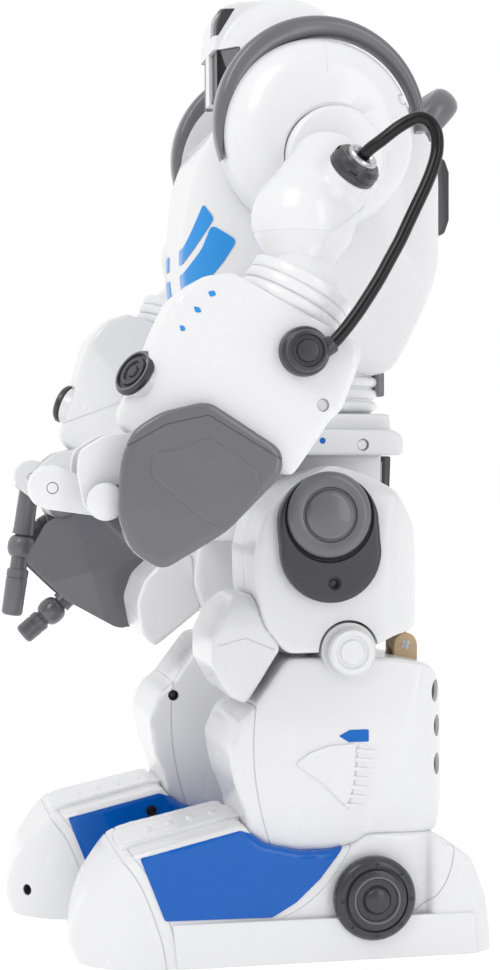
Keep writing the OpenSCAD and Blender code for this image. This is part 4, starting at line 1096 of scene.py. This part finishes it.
def foot(side):
    put = placer(side, f"{side}_shin", shin_place(side))
    form = keep(slab(FOOT_SIDE, FOOT_IN, FOOT_OUT), plan(FOOT_PLAN, -6, 70))
    form = swell(soften(form, 1.1, 12), 0.3)
    form = cut(form, box((-10, -120, -20), (120, 120, 0)))
    for shift in (0, 5.5):
        form = scored(form, smooth_line([(y + shift, z) for y, z in TOE_BAND], 4), 0.55, 0, 90, 0.5)
    form = scored(form, smooth_line(HEEL_SEAM, 5), 0.6, 0, 90, 0.5)
    form = scored(form, smooth_line(ANKLE_EDGE, 5), 0.5, 0, 90, 0.4)
    rails = [bevel(slab([(-45, 0), (-47, 18), (79, 17), (80, 0)], x, x + 1.5), 0.6)
             for x in (FOOT_IN - 1.2, FOOT_OUT - 0.3)]
    form = union(form, *rails)
    ridge = soften(keep(grown(form, 1.6), plan(rounded(RIDGE_PLAN, 6), 41, 70)), 0.7, 5)
    for y in (-52, -43, -34, -25):
        ridge = union(ridge, ball((LEG_X, y, 46.5 + (y + 60) * 0.221 + 1.0), 1, (7.5, 2.3, 1.5)))
    ridge = cut(ridge, box((0, -90, 56.6), (90, 60, 70)))
    inner = sunk(decal(form, slab(PANEL_SIDE, FOOT_IN - 9, FOOT_IN + 9), 0.45), *INSTEP_WELL)
    put(inner, "foot_inner_panel", BLUE, ["foot_panel"], 40)
    outer = decal(form, slab(PANEL_SIDE, FOOT_OUT - 9, FOOT_OUT + 9), 0.45)
    put(outer, "foot_outer_panel", BLUE, ["foot_panel"], 40)
    for name, well in (("toe", TOE_WELL), ("instep", INSTEP_WELL)):
        form = sunk(form, *well)
        screw(put, f"{name}_screw", *well)
    put(form, "foot_form", WHITE, ["foot_shell"], 34)
    put(ridge, "instep_ridge", WHITE, sharp=50)
    ankle_knob(put)


def ankle_knob(put):
    """The dark dial on the ankle, with eight small pits in its rim, and its lighter ring."""
    knob = lathe([(0, -1), (16.4, -1), (17, -0.2), (17, 2.6), (16, 4.2), (14.4, 4.9), (13.3, 4.9),
                  (12.9, 4.0),
                  (12.4, 4.0), (12.0, 5.6), (11.0, 6.2), (9.4, 6.2), (8.4, 5.0), (6.0, 5.0), (5.4, 5.6),
                  (5.0, 6.8),
                  (4.2, 7.4), (0, 7.5)], along_x(KNOB, FOOT_OUT), 96)
    for spot in arc(KNOB, KNOB_STUDS_R, 0, 315, 7):
        knob = cut(knob, pin(spot, 0.9, FOOT_OUT + 4.2, FOOT_OUT + 9))
    put(knob, "ankle_dial", DARK, ["ankle_knob"], 40)
    put(lathe([(8.6, 5.1), (9.0, 6.35), (9.6, 6.35), (9.9, 5.1)], along_x(KNOB, FOOT_OUT), 96),
        "ankle_dial_ring", GREY)


for side in SIDES:
    thigh(side)
    shin(side)
    foot(side)


# Light, floor and camera ----------------------------------------------------------
floor_mesh = bmesh.new()
bmesh.ops.create_grid(floor_mesh, x_segments=2, y_segments=2, size=6)
floor = from_bmesh(floor_mesh)
floor.name = "floor"
floor_paint = bpy.data.materials.new("floor_paint")
floor_paint.use_nodes = True
fill(floor_paint.node_tree.nodes["Principled BSDF"],
     {"Base Color": (0.97, 0.97, 0.97, 1), "Roughness": 0.6, "Emission Color": (1, 1, 1, 1),
      "Emission Strength": 0.22})
floor.data.materials.append(floor_paint)

world = bpy.data.worlds.new("studio")
bpy.context.scene.world = world
world.use_nodes = True
sky_nodes, sky_links = world.node_tree.nodes, world.node_tree.links
sky_where = sky_nodes.new("ShaderNodeTexCoord")
sky_split = sky_nodes.new("ShaderNodeSeparateXYZ")
sky_shade = sky_nodes.new("ShaderNodeMapRange")
fill(sky_shade, {"From Min": 0.0, "From Max": 1.0, "To Min": 1.0, "To Max": 0.5})
sky_links.new(sky_where.outputs["Generated"], sky_split.inputs["Vector"])
sky_links.new(sky_split.outputs["X"], sky_shade.inputs["Value"])
sky_links.new(sky_shade.outputs["Result"], sky_nodes["Background"].inputs["Color"])


def area_light(name, place, target, size, power):
    light = bpy.data.lights.new(name, "AREA")
    light.shape, light.size, light.size_y, light.energy = "RECTANGLE", size[0], size[1], power
    o = bpy.data.objects.new(name, light)
    bpy.context.scene.collection.objects.link(o)
    o.location = place
    o.rotation_euler = (Vector(target) - Vector(place)).to_track_quat("-Z", "Y").to_euler()


area_light("key", (0.7, -0.6, 1.1), (0, 0, 0.2), (0.5, 0.7), 4.2)
area_light("side", (1.0, 0.5, 0.5), (0, 0, 0.2), (0.3, 0.9), 1.8)
bpy.context.scene.view_settings.view_transform = "Standard"

CAMERA_TURN = math.radians(11.6)
camera_data = bpy.data.cameras.new("camera")
camera = bpy.data.objects.new("camera", camera_data)
bpy.context.scene.collection.objects.link(camera)
camera.location = (0.806, (-165.5 + FRAME_Y) * MM, 0.206)
look = Vector((-math.cos(CAMERA_TURN), math.sin(CAMERA_TURN), 0))
camera.rotation_euler = look.to_track_quat("-Z", "Y").to_euler()
camera_data.lens, camera_data.sensor_width = 68.9, 36
camera_data.shift_y = -0.033
camera_data.clip_start = 0.02
bpy.context.scene.camera = camera
